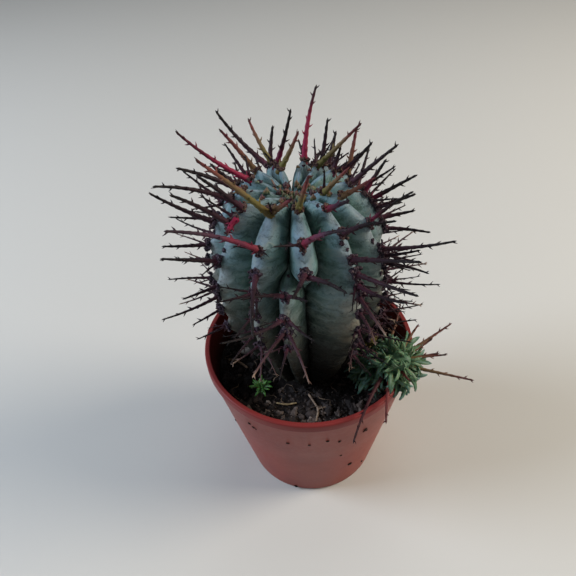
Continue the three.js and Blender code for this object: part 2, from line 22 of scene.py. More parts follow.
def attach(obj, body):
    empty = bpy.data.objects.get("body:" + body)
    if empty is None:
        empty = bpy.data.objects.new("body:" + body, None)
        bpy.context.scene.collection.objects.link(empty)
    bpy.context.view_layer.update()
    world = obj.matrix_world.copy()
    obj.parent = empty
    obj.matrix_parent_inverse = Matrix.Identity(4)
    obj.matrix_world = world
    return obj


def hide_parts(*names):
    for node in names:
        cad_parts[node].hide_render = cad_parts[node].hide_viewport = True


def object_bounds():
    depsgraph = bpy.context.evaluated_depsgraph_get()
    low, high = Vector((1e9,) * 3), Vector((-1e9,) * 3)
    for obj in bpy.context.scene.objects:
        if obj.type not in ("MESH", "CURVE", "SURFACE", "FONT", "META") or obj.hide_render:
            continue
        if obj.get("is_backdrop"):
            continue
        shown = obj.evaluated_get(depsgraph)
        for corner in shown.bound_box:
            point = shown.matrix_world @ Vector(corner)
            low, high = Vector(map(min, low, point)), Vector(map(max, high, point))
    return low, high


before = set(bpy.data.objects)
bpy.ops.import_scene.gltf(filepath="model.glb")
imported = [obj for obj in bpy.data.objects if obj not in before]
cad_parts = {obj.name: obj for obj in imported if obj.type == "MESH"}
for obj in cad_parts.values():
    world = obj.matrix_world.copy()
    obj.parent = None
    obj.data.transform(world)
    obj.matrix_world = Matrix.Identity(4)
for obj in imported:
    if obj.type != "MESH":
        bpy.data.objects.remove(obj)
cad_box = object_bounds()
MM = 0.001
print("nodes:", ", ".join(sorted(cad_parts)))

# %% [markdown]
# ## Small tools for numbers
#
# The ribs, the stalks and the leaves follow rules: smooth curves through a few chosen points, and
# seeded draws, so that every run gives the same plant. The draws repeat those of the CAD source,
# which is why the stream of numbers is written out here and not taken from a library.

# %% Numbers
UP = Vector((0, 0, 1))
STREAM_STEP = 16807
STREAM_LENGTH = 2 ** 31 - 1


def mix(a, b, k):
    """The value at k of the way from a to b."""
    return (1 - k) * a + k * b


def smooth(value, start, end):
    """0 before start and 1 after end, with a soft step between them."""
    k = min(max((value - start) / (end - start), 0), 1)
    return k * k * (3 - 2 * k)


def number_stream(seed):
    """A repeatable stream of numbers between 0 and 1."""
    state = seed

    def draw():
        nonlocal state
        state = state * STREAM_STEP % STREAM_LENGTH
        return state / STREAM_LENGTH

    return draw

# %% Curves and directions
def curve_through(points):
    """A smooth curve through the points, as a function of 0 to 1."""
    knots = [Vector((*p, 0)[:3]) for p in points]
    knots = [2 * knots[0] - knots[1], *knots, 2 * knots[-1] - knots[-2]]

    def at(t):
        spot = t * (len(knots) - 3)
        i = min(int(spot), len(knots) - 4)
        k = spot - i
        before, here, there, after = knots[i:i + 4]
        leaving = (there - before) / 2
        arriving = (after - here) / 2
        bend = 3 * (there - here) - 2 * leaving - arriving
        turn = 2 * (here - there) + leaving + arriving
        return here + leaving * k + bend * k ** 2 + turn * k ** 3

    return at


def direction(bearing, elevation):
    """The unit vector at a bearing and an elevation in degrees."""
    around, lift = math.radians(bearing), math.radians(elevation)
    flat = math.cos(lift)
    return Vector((flat * math.sin(around), -flat * math.cos(around), math.sin(lift)))


def facing(out):
    """The turn that brings Z round to point along out."""
    return out.to_track_quat("Z", "Y").to_matrix()


def any_way(draw):
    """A short vector that points in a drawn direction."""
    return Vector([draw.random() - 0.5 for _ in range(3)])


def nearest_on(a, b, point):
    """The point of the line from a to b that is nearest to the given one."""
    line = b - a
    return a + line * min(max((point - a).dot(line) / line.length_squared, 0), 1)

# %% [markdown]
# ## Small tools for meshes
#
# Three ways of making a mesh cover the whole plant. A tube is a ring that is extruded from point
# to point along a path. A skin is a flat grid whose vertices are moved onto a formula, with its
# seam welded afterwards. And a shape that repeats is made once and stamped many times, each copy
# moved vertex by vertex, which is how hundreds of stalks stay quick to build.

# %% Tubes and skins
# Only points that lie on each other are welded: where a rib fades out, others lie very near.
SAME_PLACE = 0.00001
# A spun outline is welded where it meets its axis.
ON_AXIS = 0.0005


def add_tube(bm, path, radii, sides):
    """A closed tube along path, with a ring of the given radius at each point."""
    ends = range(len(path))
    ahead = [(path[min(i + 1, ends[-1])] - path[max(i - 1, 0)]).normalized() for i in ends]
    turn = ahead[0].to_track_quat("Z", "Y")
    place = Matrix.LocRotScale(path[0], turn, (radii[0],) * 3)
    ring = bmesh.ops.create_circle(bm, radius=1, segments=sides, matrix=place)["verts"]
    edges = list({edge for vert in ring for edge in vert.link_edges})
    for i in ends[1:]:
        grown = bmesh.ops.extrude_edge_only(bm, edges=edges)["geom"]
        ring = [part for part in grown if isinstance(part, bmesh.types.BMVert)]
        edges = [part for part in grown if isinstance(part, bmesh.types.BMEdge)]
        turn = ahead[i - 1].rotation_difference(ahead[i]) @ turn
        moved = Matrix.LocRotScale(path[i], turn, (radii[i],) * 3)
        bmesh.ops.transform(bm, matrix=moved @ place.inverted(), verts=ring)
        place = moved
    bmesh.ops.holes_fill(bm, edges=[edge for edge in bm.edges if edge.is_boundary])


def skin(columns, rows, point, layers=()):
    """A closed skin: point(u, v) with u running round the piece and v from its foot to its top.

    point returns a place, and then one number for each named layer."""
    bm = bmesh.new()
    bmesh.ops.create_grid(bm, x_segments=columns, y_segments=rows, size=0.5)
    stores = [bm.verts.layers.float.new(name) for name in layers]
    for vert in bm.verts:
        column = round((vert.co.x + 0.5) * columns) % columns
        place, *values = point(column / columns, vert.co.y + 0.5)
        vert.co = place
        for store, value in zip(stores, values):
            vert[store] = value
    bmesh.ops.remove_doubles(bm, verts=bm.verts, dist=SAME_PLACE)
    return bm

# %% Stamps
def painted_mesh(name):
    """An empty bmesh, and a layer that keeps one number on each of its vertices."""
    bm = bmesh.new()
    return bm, bm.verts.layers.float.new(name)


def template(build):
    """A mesh that build(bm) makes once, to be stamped many times."""
    bm = bmesh.new()
    build(bm)
    mesh = bpy.data.meshes.new("template")
    bm.to_mesh(mesh)
    bm.free()
    return mesh


def stamp(bm, mesh, place, layer=None, value=None):
    """Adds a copy of a template, each vertex moved by place, with value(its own place) in layer."""
    first = len(bm.verts)
    bm.from_mesh(mesh)
    bm.verts.ensure_lookup_table()
    for vert in bm.verts[first:]:
        if layer is not None:
            vert[layer] = value(vert.co)
        vert.co = place(vert.co)

# %% [markdown]
# ## From a mesh to a piece
#
# A finished piece rides on the CAD body and takes the finish it is given. Where it stands for one
# of the CAD's nodes, that node's own part is hidden. Its object sits at the origin and its place is in
# its vertices, as the CAD's are.

# %% Finish a piece
def finish_piece(bm, name, material, node=None, smooth_shaded=True):
    """The finished object. It stands for node, or only adds to the model where there is none."""
    bmesh.ops.scale(bm, vec=(MM, MM, MM), verts=bm.verts)
    bmesh.ops.recalc_face_normals(bm, faces=bm.faces)
    mesh = bpy.data.meshes.new(name)
    bm.to_mesh(mesh)
    bm.free()
    if smooth_shaded:
        mesh.shade_smooth()
    mesh.materials.append(material)
    piece = bpy.data.objects.new(name, mesh)
    bpy.context.scene.collection.objects.link(piece)
    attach(piece, "root")
    if node:
        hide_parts(node)
    triangles = sum(len(face.vertices) - 2 for face in mesh.polygons)
    print(f"{name}: {triangles} triangles, {piece.dimensions.z / MM:.1f} mm tall")
    return piece

# %% [markdown]
# ## Small tools for materials
#
# Every finish is a Principled surface fed by procedural patterns on Object coordinates, which
# are metres on these pieces, so a pattern's scale is one over its real size. Colours are picked
# as the hex values that an image editor shows, and one function turns them into the linear
# values that Blender's nodes work in.

# %% Nodes and colours
def linear(colour):
    """A Blender colour from an sRGB hex value such as #6c4542."""
    parts = [int(colour[i:i + 2], 16) / 255 for i in (1, 3, 5)]
    return (*(c / 12.92 if c <= 0.04045 else ((c + 0.055) / 1.055) ** 2.4 for c in parts), 1)


def add(tree, kind, links=None, stops=None, **settings):
    """Adds a node, with its settings, its ramp's stops, and a link or a value for each socket."""
    node = tree.nodes.new("ShaderNode" + kind)
    for name, value in settings.items():
        setattr(node, name, value)
    if stops:
        ramp = node.color_ramp
        while len(ramp.elements) < len(stops):
            ramp.elements.new(0.5)
        for element, (place, colour) in zip(ramp.elements, stops):
            element.position = place
            element.color = linear(colour)
    for socket, source in (links or {}).items():
        if isinstance(source, bpy.types.NodeSocket):
            tree.links.new(source, node.inputs[socket])
        else:
            node.inputs[socket].default_value = source
    return node


def make_finish(name, build):
    """A material whose Principled surface takes the inputs that build(tree, place) returns."""
    material = bpy.data.materials.new(name)
    material.use_nodes = True
    tree = material.node_tree
    tree.nodes.clear()
    place = add(tree, "TexCoord").outputs["Object"]
    shader = add(tree, "BsdfPrincipled", build(tree, place))
    add(tree, "OutputMaterial", {"Surface": shader.outputs[0]})
    return material

# %% [markdown]
# ## The camera
#
# The picture is taken from above the front at 43 degrees, a little tilted, from about 20 cm away.
# A camera looks along its own -Z, so its turn is built from the direction it looks in. The camera
# comes before the pieces because each of them is judged through it.

# %% Place the camera
IMAGE_SIZE = 576
FOCAL_PIXELS = 541
SENSOR_WIDTH = 36
camera_elevation = 42.9
camera_roll = -3.89
camera_distance = 203.4
camera_target = Vector((-6.79, 0, 100.43))

back = direction(0, camera_elevation)
camera_data = bpy.data.cameras.new("camera")
camera_data.sensor_width = SENSOR_WIDTH
camera_data.lens = SENSOR_WIDTH * FOCAL_PIXELS / IMAGE_SIZE
camera_data.clip_start = 0.01
camera = bpy.data.objects.new("camera", camera_data)
bpy.context.scene.collection.objects.link(camera)
roll = Matrix.Rotation(math.radians(camera_roll), 4, "Z")
place = Matrix.Translation((camera_target + back * camera_distance) * MM)
camera.matrix_world = place @ facing(back).to_4x4() @ roll
bpy.context.scene.camera = camera
print("camera at", [round(v, 3) for v in camera.matrix_world.translation])

# %% [markdown]
# ## Floor and light
#
# The plant stands on a plain pale surface in a room with a window on either side: a cool one on
# the left and a warm one on the right. Each throws the plant's broad, soft shadow towards the
# other, so the floor beside the pot is half dark, cool on the left and warm on the right. A weak
# light above makes the crests pale, a weaker one on the camera's side opens the shadows, and a dim
# grey sky gives the rest. Standard view keeps colours as they are, with no film look.

# %% Floor, lamps and sky
# Each lamp: name, bearing, elevation, distance and size in metres, power in watts, colour.
LAMPS = [
    ("overhead", 160, 70, 1, 0.5, 1.45, "#fbfcff"),
    ("cool_left", -90, 34, 1.2, 0.6, 12.6, "#e2ecff"),
    ("warm_right", 88, 34, 1.2, 0.6, 13.2, "#fff1e2"),
    ("camera_side", 0, 52, 1.2, 1.1, 0.5, "#ffffff"),
]
LAMP_AIM = Vector((0, 0, 0.08))
SKY_STRENGTH = 0.12
FLOOR_REACH = 3
FLOOR_DROP = 0.00005

for name, bearing, elevation, distance, size, power, colour in LAMPS:
    lamp = bpy.data.lights.new(name, "AREA")
    lamp.shape = "DISK"
    lamp.size = size
    lamp.energy = power
    lamp.color = linear(colour)[:3]
    light = bpy.data.objects.new(name, lamp)
    bpy.context.scene.collection.objects.link(light)
    out = direction(bearing, elevation)
    light.matrix_world = Matrix.Translation(out * distance + LAMP_AIM) @ facing(out).to_4x4()

world = bpy.data.worlds.new("soft_grey_sky")
world.use_nodes = True
sky = world.node_tree.nodes["Background"].inputs
sky["Color"].default_value = linear("#dcdfe2")
sky["Strength"].default_value = SKY_STRENGTH
bpy.context.scene.world = world
bpy.context.scene.view_settings.view_transform = "Standard"

bm = bmesh.new()
bmesh.ops.create_grid(bm, x_segments=1, y_segments=1, size=FLOOR_REACH)
bmesh.ops.translate(bm, vec=(0, 0, -FLOOR_DROP), verts=bm.verts)
floor_mesh = bpy.data.meshes.new("floor")
bm.to_mesh(floor_mesh)
bm.free()
floor = bpy.data.objects.new("floor", floor_mesh)
bpy.context.scene.collection.objects.link(floor)
floor_mesh.materials.append(make_finish("matt_pale_laminate", lambda tree, place: {
    "Base Color": linear("#c8c9c3"),
    "Roughness": 0.62,
}))
floor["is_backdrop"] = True
print(len(LAMPS), "lamps, floor", 2 * FLOOR_REACH, "m wide")

# %% [markdown]
# ## The pot
#
# The real pot is injection-moulded polypropylene, barely more than a millimetre thick, with a
# plain lip four millimetres tall and five drain holes. A round, thin-walled thing is a lathe job:
# half of its outline is drawn once, inside and out, and spun about the axis. Corners that catch
# the light are small arcs. The drain holes are cut last with a Boolean, because a spin can't make
# them.

# %% Pot outline
POT = {
    "rim_radius": 42.5, "height": 72, "base_radius": 29.4, "wall": 1.2, "floor": 1.6,
    "lip_height": 4, "lip_step": 0.7, "lip_width": 2.1, "lip_edge": 0.35, "lip_inner_edge": 0.5,
    "underside": 22, "foot_spread": 0.25, "foot_rounding": 1.4, "belly": 0.12, "inner_corner": 1.1,
}
POT_SIDES = 144
INNER_LIP = POT["rim_radius"] - POT["lip_width"]
INNER_FLOOR = POT["base_radius"] - POT["wall"]
UNDER_LIP = POT["rim_radius"] - POT["lip_step"]
LIP_FOOT = POT["height"] - POT["lip_height"]


def inner_wall(height):
    """The radius of the pot's inside at a height."""
    k = (height - POT["floor"]) / (LIP_FOOT - POT["floor"])
    return mix(INNER_FLOOR, INNER_LIP - 0.1, min(k, 1))


def arc(radius_at, height_at, size, start, end, steps):
    """Points of an arc in the outline, from one angle to another in degrees."""
    angles = [math.radians(mix(start, end, i / steps)) for i in range(steps + 1)]
    return [(radius_at + size * math.cos(a), height_at + size * math.sin(a)) for a in angles]


def pot_outline():
    """Half of the pot's section, from the middle of its underside to the middle of its floor."""
    foot, corner, edge = POT["foot_rounding"], POT["inner_corner"], POT["lip_inner_edge"]
    roll = POT["lip_width"] / 2 - POT["lip_edge"]
    return [
        (0, 0), (POT["underside"], 0),
        *arc(POT["base_radius"] + POT["foot_spread"] - foot, foot, foot, -90, 0, 6),
        (mix(POT["base_radius"], UNDER_LIP, 0.5) + POT["belly"], LIP_FOOT / 2),
        (UNDER_LIP, LIP_FOOT),
        *arc(POT["rim_radius"] - POT["lip_edge"], LIP_FOOT + 0.6, 0.3, -60, 0, 3),
        *arc(POT["rim_radius"] - roll, POT["height"] - roll, roll, 0, 90, 6),
        *arc(INNER_LIP + edge, POT["height"] - edge, edge, 90, 180, 4),
        (inner_wall(LIP_FOOT), LIP_FOOT),
        *arc(INNER_FLOOR + POT["foot_spread"] - corner, POT["floor"] + corner, corner, 0, -90, 4),
        (0, POT["floor"]),
    ]


def spin_outline(bm, outline, steps, centre=(0, 0)):
    """Spins half a section, given as (radius, height), round an upright axis at centre."""
    verts = [bm.verts.new((centre[0] + radius, centre[1], height)) for radius, height in outline]
    edges = [bm.edges.new(pair) for pair in zip(verts, verts[1:])]
    bmesh.ops.spin(bm, geom=verts + edges, cent=(*centre, 0), axis=(0, 0, 1), dvec=(0, 0, 0),
                   angle=2 * math.pi, steps=steps, use_merge=True)
    bmesh.ops.remove_doubles(bm, verts=bm.verts, dist=ON_AXIS)

# %% Pot finish
def moulded_polypropylene(tree, place):
    """Moulded polypropylene: satin and faintly mottled, dusty outside, with painted shade on the inside of
    the wall below the rim.
    """
    cloud, dust, grain = [
        add(tree, "TexNoise", {"Vector": place, "Scale": 1 / (size * MM), "Detail": detail,
                               "Roughness": rough}).outputs[0]
        for size, detail, rough in ((16, 4, 0.5), (2.2, 6, 0.7), (0.6, 2, 0.5))]
    x, y, height = add(tree, "SeparateXYZ", {0: place}).outputs
    at_lip = add(tree, "MapRange", {"Value": height, "From Min": (LIP_FOOT - 0.5) * MM,
                                    "From Max": (LIP_FOOT + 0.7) * MM}).outputs[0]
    # The dust mask is weak near the lip and strong lower down, so the wall is paler towards the bottom and
    # darker just under the lip.
    paler_lower_down = add(tree, "MapRange", {"Value": height, "From Min": 66 * MM, "From Max": 12 * MM,
                                     "To Min": 0.04, "To Max": 0.22}).outputs[0]
    dusty = add(tree, "MapRange", {"Value": dust, "From Min": 0.52, "From Max": 0.75,
                                   "To Max": paler_lower_down}).outputs[0]

    # With the wall's flare taken out, the radius tells the inside of the wall from the outside.
    flat = add(tree, "CombineXYZ", {0: x, 1: y}).outputs[0]
    radius = add(tree, "VectorMath", {0: flat}, operation="LENGTH").outputs["Value"]
    flare = (INNER_LIP - INNER_FLOOR) / (LIP_FOOT - POT["floor"])
    straight = add(tree, "Math", {0: height, 1: -flare, 2: radius}, operation="MULTIPLY_ADD").outputs[0]
    inside = add(tree, "MapRange", {"Value": straight, "From Min": (INNER_FLOOR + 0.6) * MM,
                                    "From Max": (INNER_FLOOR + 0.2) * MM}).outputs[0]
    # Painted shade: the inside of the wall below the rim is painted dark, where the rim and the plant shade
    # it.
    low = add(tree, "MapRange", {"Value": height, "From Min": 71 * MM, "From Max": 60 * MM,
                                 "To Max": 0.85}).outputs[0]
    inner_wall_shade = add(tree, "Math", {0: inside, 1: low}, operation="MULTIPLY").outputs[0]

    colour = add(tree, "ValToRGB", {"Fac": cloud},
                 stops=[(0.3, "#82342b"), (0.55, "#8d3b30"), (0.8, "#83352c")]).outputs[0]
    # Over the plastic's mottle go the lip's own tone, dust, and the painted shade inside the wall.
    for mask, over in ((at_lip, "#7a2e2c"), (dusty, "#876056"), (inner_wall_shade, "#2a1714")):
        colour = add(tree, "Mix", {0: mask, 6: colour, 7: linear(over)}, data_type="RGBA").outputs[2]
    normal = add(tree, "Bump", {"Height": grain, "Strength": 0.15, "Distance": 0.05 * MM}).outputs[0]
    rough = add(tree, "MapRange", {"Value": dust, "To Min": 0.3, "To Max": 0.5}).outputs[0]
    return {"Base Color": colour, "Roughness": rough, "IOR": 1.49, "Specular IOR Level": 0.2,
            "Normal": normal}


pot_plastic = make_finish("moulded_polypropylene", moulded_polypropylene)

# %% Spin the pot and cut its drain holes
DRAIN = {"holes": 5, "radius": 3, "circle": 18, "drill_length": 8}


def cut_drain_holes(pot):
    """Drills the holes in a ring through the pot's floor."""
    drill = bmesh.new()
    for i in range(DRAIN["holes"]):
        around = 2 * math.pi * (i + 0.5) / DRAIN["holes"]
        centre = Vector((math.cos(around), math.sin(around), 0)) * DRAIN["circle"] * MM
        bmesh.ops.create_cone(drill, cap_ends=True, segments=32, radius1=DRAIN["radius"] * MM,
                              radius2=DRAIN["radius"] * MM, depth=DRAIN["drill_length"] * MM,
                              matrix=Matrix.Translation(centre))
    mesh = bpy.data.meshes.new("drill")
    drill.to_mesh(mesh)
    drill.free()
    cutter = bpy.data.objects.new("drill", mesh)
    bpy.context.scene.collection.objects.link(cutter)
    cut = pot.modifiers.new("drain_holes", "BOOLEAN")
    cut.object = cutter
    cut.solver = "EXACT"
    bpy.context.view_layer.update()
    drilled = pot.evaluated_get(bpy.context.evaluated_depsgraph_get())
    finished = bpy.data.meshes.new_from_object(drilled)
    pot.modifiers.clear()
    pot.data = finished
    bpy.data.objects.remove(cutter)


bm = bmesh.new()
spin_outline(bm, pot_outline(), POT_SIDES)
pot = finish_piece(bm, "nursery_pot", pot_plastic, "pot")
cut_drain_holes(pot)
print("pot wall", POT["wall"], "mm, drain holes", DRAIN["holes"])

# %% [markdown]
# ## Splashes on the pot
#
# Watering has thrown crumbs of mix on the outside of the pot. They are tiny, but they are what
# makes plastic look used. Each is a flattened, uneven ball, half sunk into the wall.

# %% Crumbs on the wall
# Each is [bearing, height on the wall, size].
WALL_CRUMBS = [
    (-38, 60.9, 0.75), (-36, 58.9, 0.7), (-34.6, 58.4, 0.4), (-16, 55.1, 0.7), (-4, 55, 0.6),
    (6, 57.6, 0.75), (13, 54.7, 0.7), (16, 38.5, 0.55), (29, 56, 0.85), (28.4, 54.4, 0.6),
    (30.4, 53.9, 0.55), (26, 22.6, 1.1), (-18, 2.2, 0.9), (42, 12, 0.55), (-60, 44, 0.6),
    (75, 50, 0.7), (118, 58, 0.8), (150, 36, 0.6), (196, 61, 0.7), (233, 47, 0.6), (262, 60, 0.7),
]


def outer_wall(height):
    """The radius at which a crumb on the outside of the pot is half sunk."""
    return mix(POT["base_radius"] + POT["foot_spread"], UNDER_LIP, height / LIP_FOOT) + 0.05


def uneven(point, size, seed, amount):
    """A point pushed in or out by smooth noise of the given size."""
    return point * (1 + amount * noise.noise(point / size + Vector((seed * 7.31, seed * 3.17, seed))))


def ball(subdivisions):
    """A ball of radius 1 to stamp."""
    return template(lambda bm: bmesh.ops.create_icosphere(bm, subdivisions=subdivisions, radius=1))


small_ball = ball(1)
round_ball = ball(2)

bm = bmesh.new()
for number, (bearing, height, size) in enumerate(WALL_CRUMBS):
    out = direction(bearing, 0)
    centre = out * outer_wall(height) + UP * height
    turn = facing(out)

    def crumb(co):
        lump = uneven(co, 0.8, number, 0.5)
        return centre + turn @ Vector((lump.x * size, lump.y * size * 0.8, lump.z * size * 0.35))

    stamp(bm, round_ball, crumb)

# %% Finish of the mix
def damp_mix(tree, place):
    """Potting mix: dark, rough and crumbly, with paler dust on what stands proud, and painted shade near
    the stem.
    """
    speck = add(tree, "TexNoise", {"Vector": place, "Scale": 1 / (1.4 * MM), "Detail": 8,
                                   "Roughness": 0.75}).outputs[0]
    front = add(tree, "SeparateXYZ", {0: place}).outputs["Y"]
    # Painted shade: the mix is painted darker near the stem, where the plant shades it, and paler towards
    # the front rim.
    painted_front_light = add(tree, "MapRange", {"Value": front, "From Min": -16 * MM, "From Max": -36 * MM,
                                 "To Max": 0.12}).outputs[0]
    shade = add(tree, "Math", {0: speck, 1: painted_front_light}, operation="ADD").outputs[0]
    colour = add(tree, "ValToRGB", {"Fac": shade},
                 stops=[(0.36, "#060505"), (0.54, "#120e0c"), (0.68, "#2b231e"),
                        (0.84, "#5a4e45")]).outputs[0]
    normal = add(tree, "Bump", {"Height": speck, "Strength": 0.9, "Distance": 0.5 * MM}).outputs[0]
    return {"Base Color": colour, "Roughness": 0.92, "Specular IOR Level": 0.2, "Normal": normal}


mix_finish = make_finish("damp_potting_mix", damp_mix)
finish_piece(bm, "wall_crumbs", mix_finish)

# %% [markdown]
# ## The bed of potting mix
#
# The mix fills the pot to 14 mm below the rim. Its top is a disc of rings pulled in towards the
# stem, lifted by noise into crumbs and hollows; under it a plain wall and floor close the body, as
# in the CAD. Loose grains follow as stamps.

# %% Height of the mix
SOIL_TOP = 57.6
SOIL_RELIEF = 0.45
SOIL_WAVE = 34
STEM_AXIS_X = -1.2
STEM_FOOT = 12.6


def soil_height(x, y):
    """The wavy top of the mix, as in the CAD, level round the stem."""
    k = 2 * math.pi / SOIL_WAVE
    level = smooth(math.hypot(x - STEM_AXIS_X, y), STEM_FOOT + 1, STEM_FOOT + 7)
    return SOIL_TOP + level * SOIL_RELIEF * (math.sin(k * x + 1.3) + math.cos(k * y * 1.1))


def crumbly_height(x, y):
    """The mix with its crumbs: clods 5 mm across, and grains 1.6 mm across on them."""
    clods = noise.noise(Vector((x / 5, y / 5, 1.7)))
    grains = noise.noise(Vector((x / 1.6, y / 1.6, 8.3)))
    return soil_height(x, y) + 0.55 * clods + 0.35 * grains

# %% Model the bed
SOIL_RINGS = 76
SOIL_SIDES = 150
soil_rim = inner_wall(SOIL_TOP) - 0.25
soil_bottom = POT["floor"] + 0.3

bm = bmesh.new()
bmesh.ops.create_circle(bm, radius=INNER_FLOOR - 0.4, segments=SOIL_SIDES,
                        matrix=Matrix.Translation((0, 0, soil_bottom)))
edges = bm.edges[:]
bmesh.ops.contextual_create(bm, geom=edges)
for i in range(SOIL_RINGS + 1):
    grown = bmesh.ops.extrude_edge_only(bm, edges=edges)["geom"]
    ring = [part for part in grown if isinstance(part, bmesh.types.BMVert)]
    edges = [part for part in grown if isinstance(part, bmesh.types.BMEdge)]
    k = i / SOIL_RINGS
    radius = mix(soil_rim, STEM_FOOT - 1.4, k)
    for vert in ring:
        flat = Vector((vert.co.x, vert.co.y)) - Vector((STEM_AXIS_X * max(i - 1, 0) / SOIL_RINGS, 0))
        flat = flat.normalized() * radius + Vector((STEM_AXIS_X * k, 0))
        vert.co = (flat.x, flat.y, crumbly_height(flat.x, flat.y) - 0.5 * smooth(k, 0.05, 0))
bmesh.ops.contextual_create(bm, geom=edges)
finish_piece(bm, "mix_bed", mix_finish, "potting_soil")

# %% [markdown]
# ## Grit, clods and fibres
#
# Real mix isn't one colour: there are dark clods, grey grit and the odd tan or nearly white grain.
# One piece holds them all, and a number painted on each grain picks its colour from a ramp. Grains
# stay clear of the stem, and the larger ones lie near the front rim. The number is raised towards
# the front as painted light, so grains near the stem are painted darker, as in the plant's shade.

# %% Grain finish
def grit_with_painted_light(tree, place):
    """Crushed stone, bark and clods: each grain has its own tone, painted paler towards the front as
    painted light, and all are rough.
    """
    shade = add(tree, "Attribute", attribute_name="shade").outputs["Fac"]
    dirt = add(tree, "TexNoise", {"Vector": place, "Scale": 1 / (0.9 * MM), "Detail": 6,
                                  "Roughness": 0.7}).outputs[0]
    spread = add(tree, "MapRange", {"Value": dirt, "To Min": -0.16, "To Max": 0.16}).outputs[0]
    dirtied = add(tree, "Math", {0: shade, 1: spread}, operation="ADD").outputs[0]
    colour = add(tree, "ValToRGB", {"Fac": dirtied},
                 stops=[(0.05, "#0c0a09"), (0.35, "#1d1715"), (0.55, "#3d3430"), (0.72, "#63574f"),
                        (0.88, "#83776d"), (1, "#a89f94")]).outputs[0]
    normal = add(tree, "Bump", {"Height": dirt, "Strength": 0.8, "Distance": 0.25 * MM}).outputs[0]
    return {"Base Color": colour, "Roughness": 0.88, "Normal": normal}


grit_finish = make_finish("grit_with_painted_light", grit_with_painted_light)

# %% Scatter the grains
# The plants' feet, each (x, y, radius).
PLANT_FEET = [(STEM_AXIS_X, 0, 13.4), (23.5, -9.5, 3.6), (26.4, 5.2, 2.5), (-20.4, -13.8, 1.8)]
# Each batch: its ball, how many, the sizes from and to, a seed, how deep a grain is sunk, how far
# round from the front it may lie in degrees, and how near the middle as a part of the way out.
GRAIN_BATCHES = [
    (round_ball, 190, (1.1, 2.5), 41, 0.15, 180, 0),
    (small_ball, 1300, (0.35, 1.1), 42, 0.1, 180, 0),
    (round_ball, 85, (1.2, 2.6), 43, 0.05, 80, 0.72),
]


def grain_fits(x, y, size):
    """Whether a grain lies inside the pot and off the plants' feet."""
    in_pot = math.hypot(x, y) < soil_rim - 0.8 * size
    return in_pot and all(math.hypot(x - fx, y - fy) > radius + size for fx, fy, radius in PLANT_FEET)


def scatter(bm, shade_layer, mesh, count, sizes, seed, sunk, spread, innermost):
    """Scatters one batch of grains. A grain that doesn't fit is drawn again."""
    draw = Random(seed)
    placed = 0
    while placed < count:
        reach = soil_rim * math.sqrt(mix(innermost ** 2, 1, draw.random()))
        bearing = spread * (2 * draw.random() - 1)
        size = mix(*sizes, draw.random() ** 2)
        spot = direction(bearing, 0) * reach
        tilt = any_way(draw).to_track_quat("Z", "Y")
        shade = 0.05 + 0.45 * draw.random() ** 1.7 + (0.3 if draw.random() > 0.95 else 0)
        # Painted shade: grains near the stem are painted darker and those towards the front paler.
        painted_front_paling = 0.34 * smooth(-spot.y, 12, 32)
        flat = mix(0.55, 0.85, draw.random())
        if not grain_fits(spot.x, spot.y, size):
            continue
        placed += 1
        spot.z = crumbly_height(spot.x, spot.y) - sunk * size

        def grain(co):
            lump = uneven(co, 0.7, placed, 0.75) * size
            return spot + tilt @ Vector((lump.x, lump.y * 0.85, lump.z * flat))

        stamp(bm, mesh, grain, shade_layer, lambda co: min(shade + painted_front_paling, 1))


bm, shade_layer = painted_mesh("shade")
for batch in GRAIN_BATCHES:
    scatter(bm, shade_layer, *batch)
finish_piece(bm, "grit_and_clods", grit_finish, smooth_shaded=False)

# %% [markdown]
# Dry fibres and bits of bark are what the eye reads as a peat-based mix. They are thin tubes that
# wander a little and lie on the surface.

# %% Fibres
def dead_fibre(tree, place):
    """Dead root fibre: dull tan to dark brown along its length."""
    cloud = add(tree, "TexNoise", {"Vector": place, "Scale": 1 / (3 * MM), "Detail": 3}).outputs[0]
    colour = add(tree, "ValToRGB", {"Fac": cloud},
                 stops=[(0.35, "#2b211a"), (0.5, "#4d3e31"), (0.68, "#85725c")]).outputs[0]
    return {"Base Color": colour, "Roughness": 0.85}


FIBRES = 46
FIBRE_STEPS = 5
FIBRE_SHAPE = (0.6, 1, 1.1, 1, 0.9, 0.5)
bm = bmesh.new()
draw = Random(77)
for number in range(FIBRES):
    start = direction(360 * draw.random(), 0) * mix(17, soil_rim - 3, draw.random())
    heading = 360 * draw.random()
    length = mix(3.5, 10, draw.random())
    thick = mix(0.1, 0.24, draw.random())
    path = []
    for i in range(FIBRE_STEPS + 1):
        wander = heading + 26 * math.sin(i * 1.3 + number)
        point = start + direction(wander, 0) * (length * i / FIBRE_STEPS)
        lift = thick + 0.5 + 0.7 * math.sin(math.pi * i / FIBRE_STEPS)
        path.append(Vector((point.x, point.y, crumbly_height(point.x, point.y) + lift)))
    if all(grain_fits(p.x, p.y, 1.2) for p in path):
        radii = [thick * k for k in FIBRE_SHAPE]
        bm.from_mesh(template(lambda small: add_tube(small, path, radii, 5)))
finish_piece(bm, "fibres", make_finish("dead_fibre", dead_fibre))

# %% [markdown]
# ## The ribbed column
#
# The stem is one succulent body with fourteen uneven ribs. The front one stands out near the crown
# only, and the rib beside it takes its place further down. Two outlines say it all, one up the crest
# of a rib and one up the furrow. A point of the skin blends between them, so the body is a skin over
# a formula, and the same formula tells every stalk where it grows.

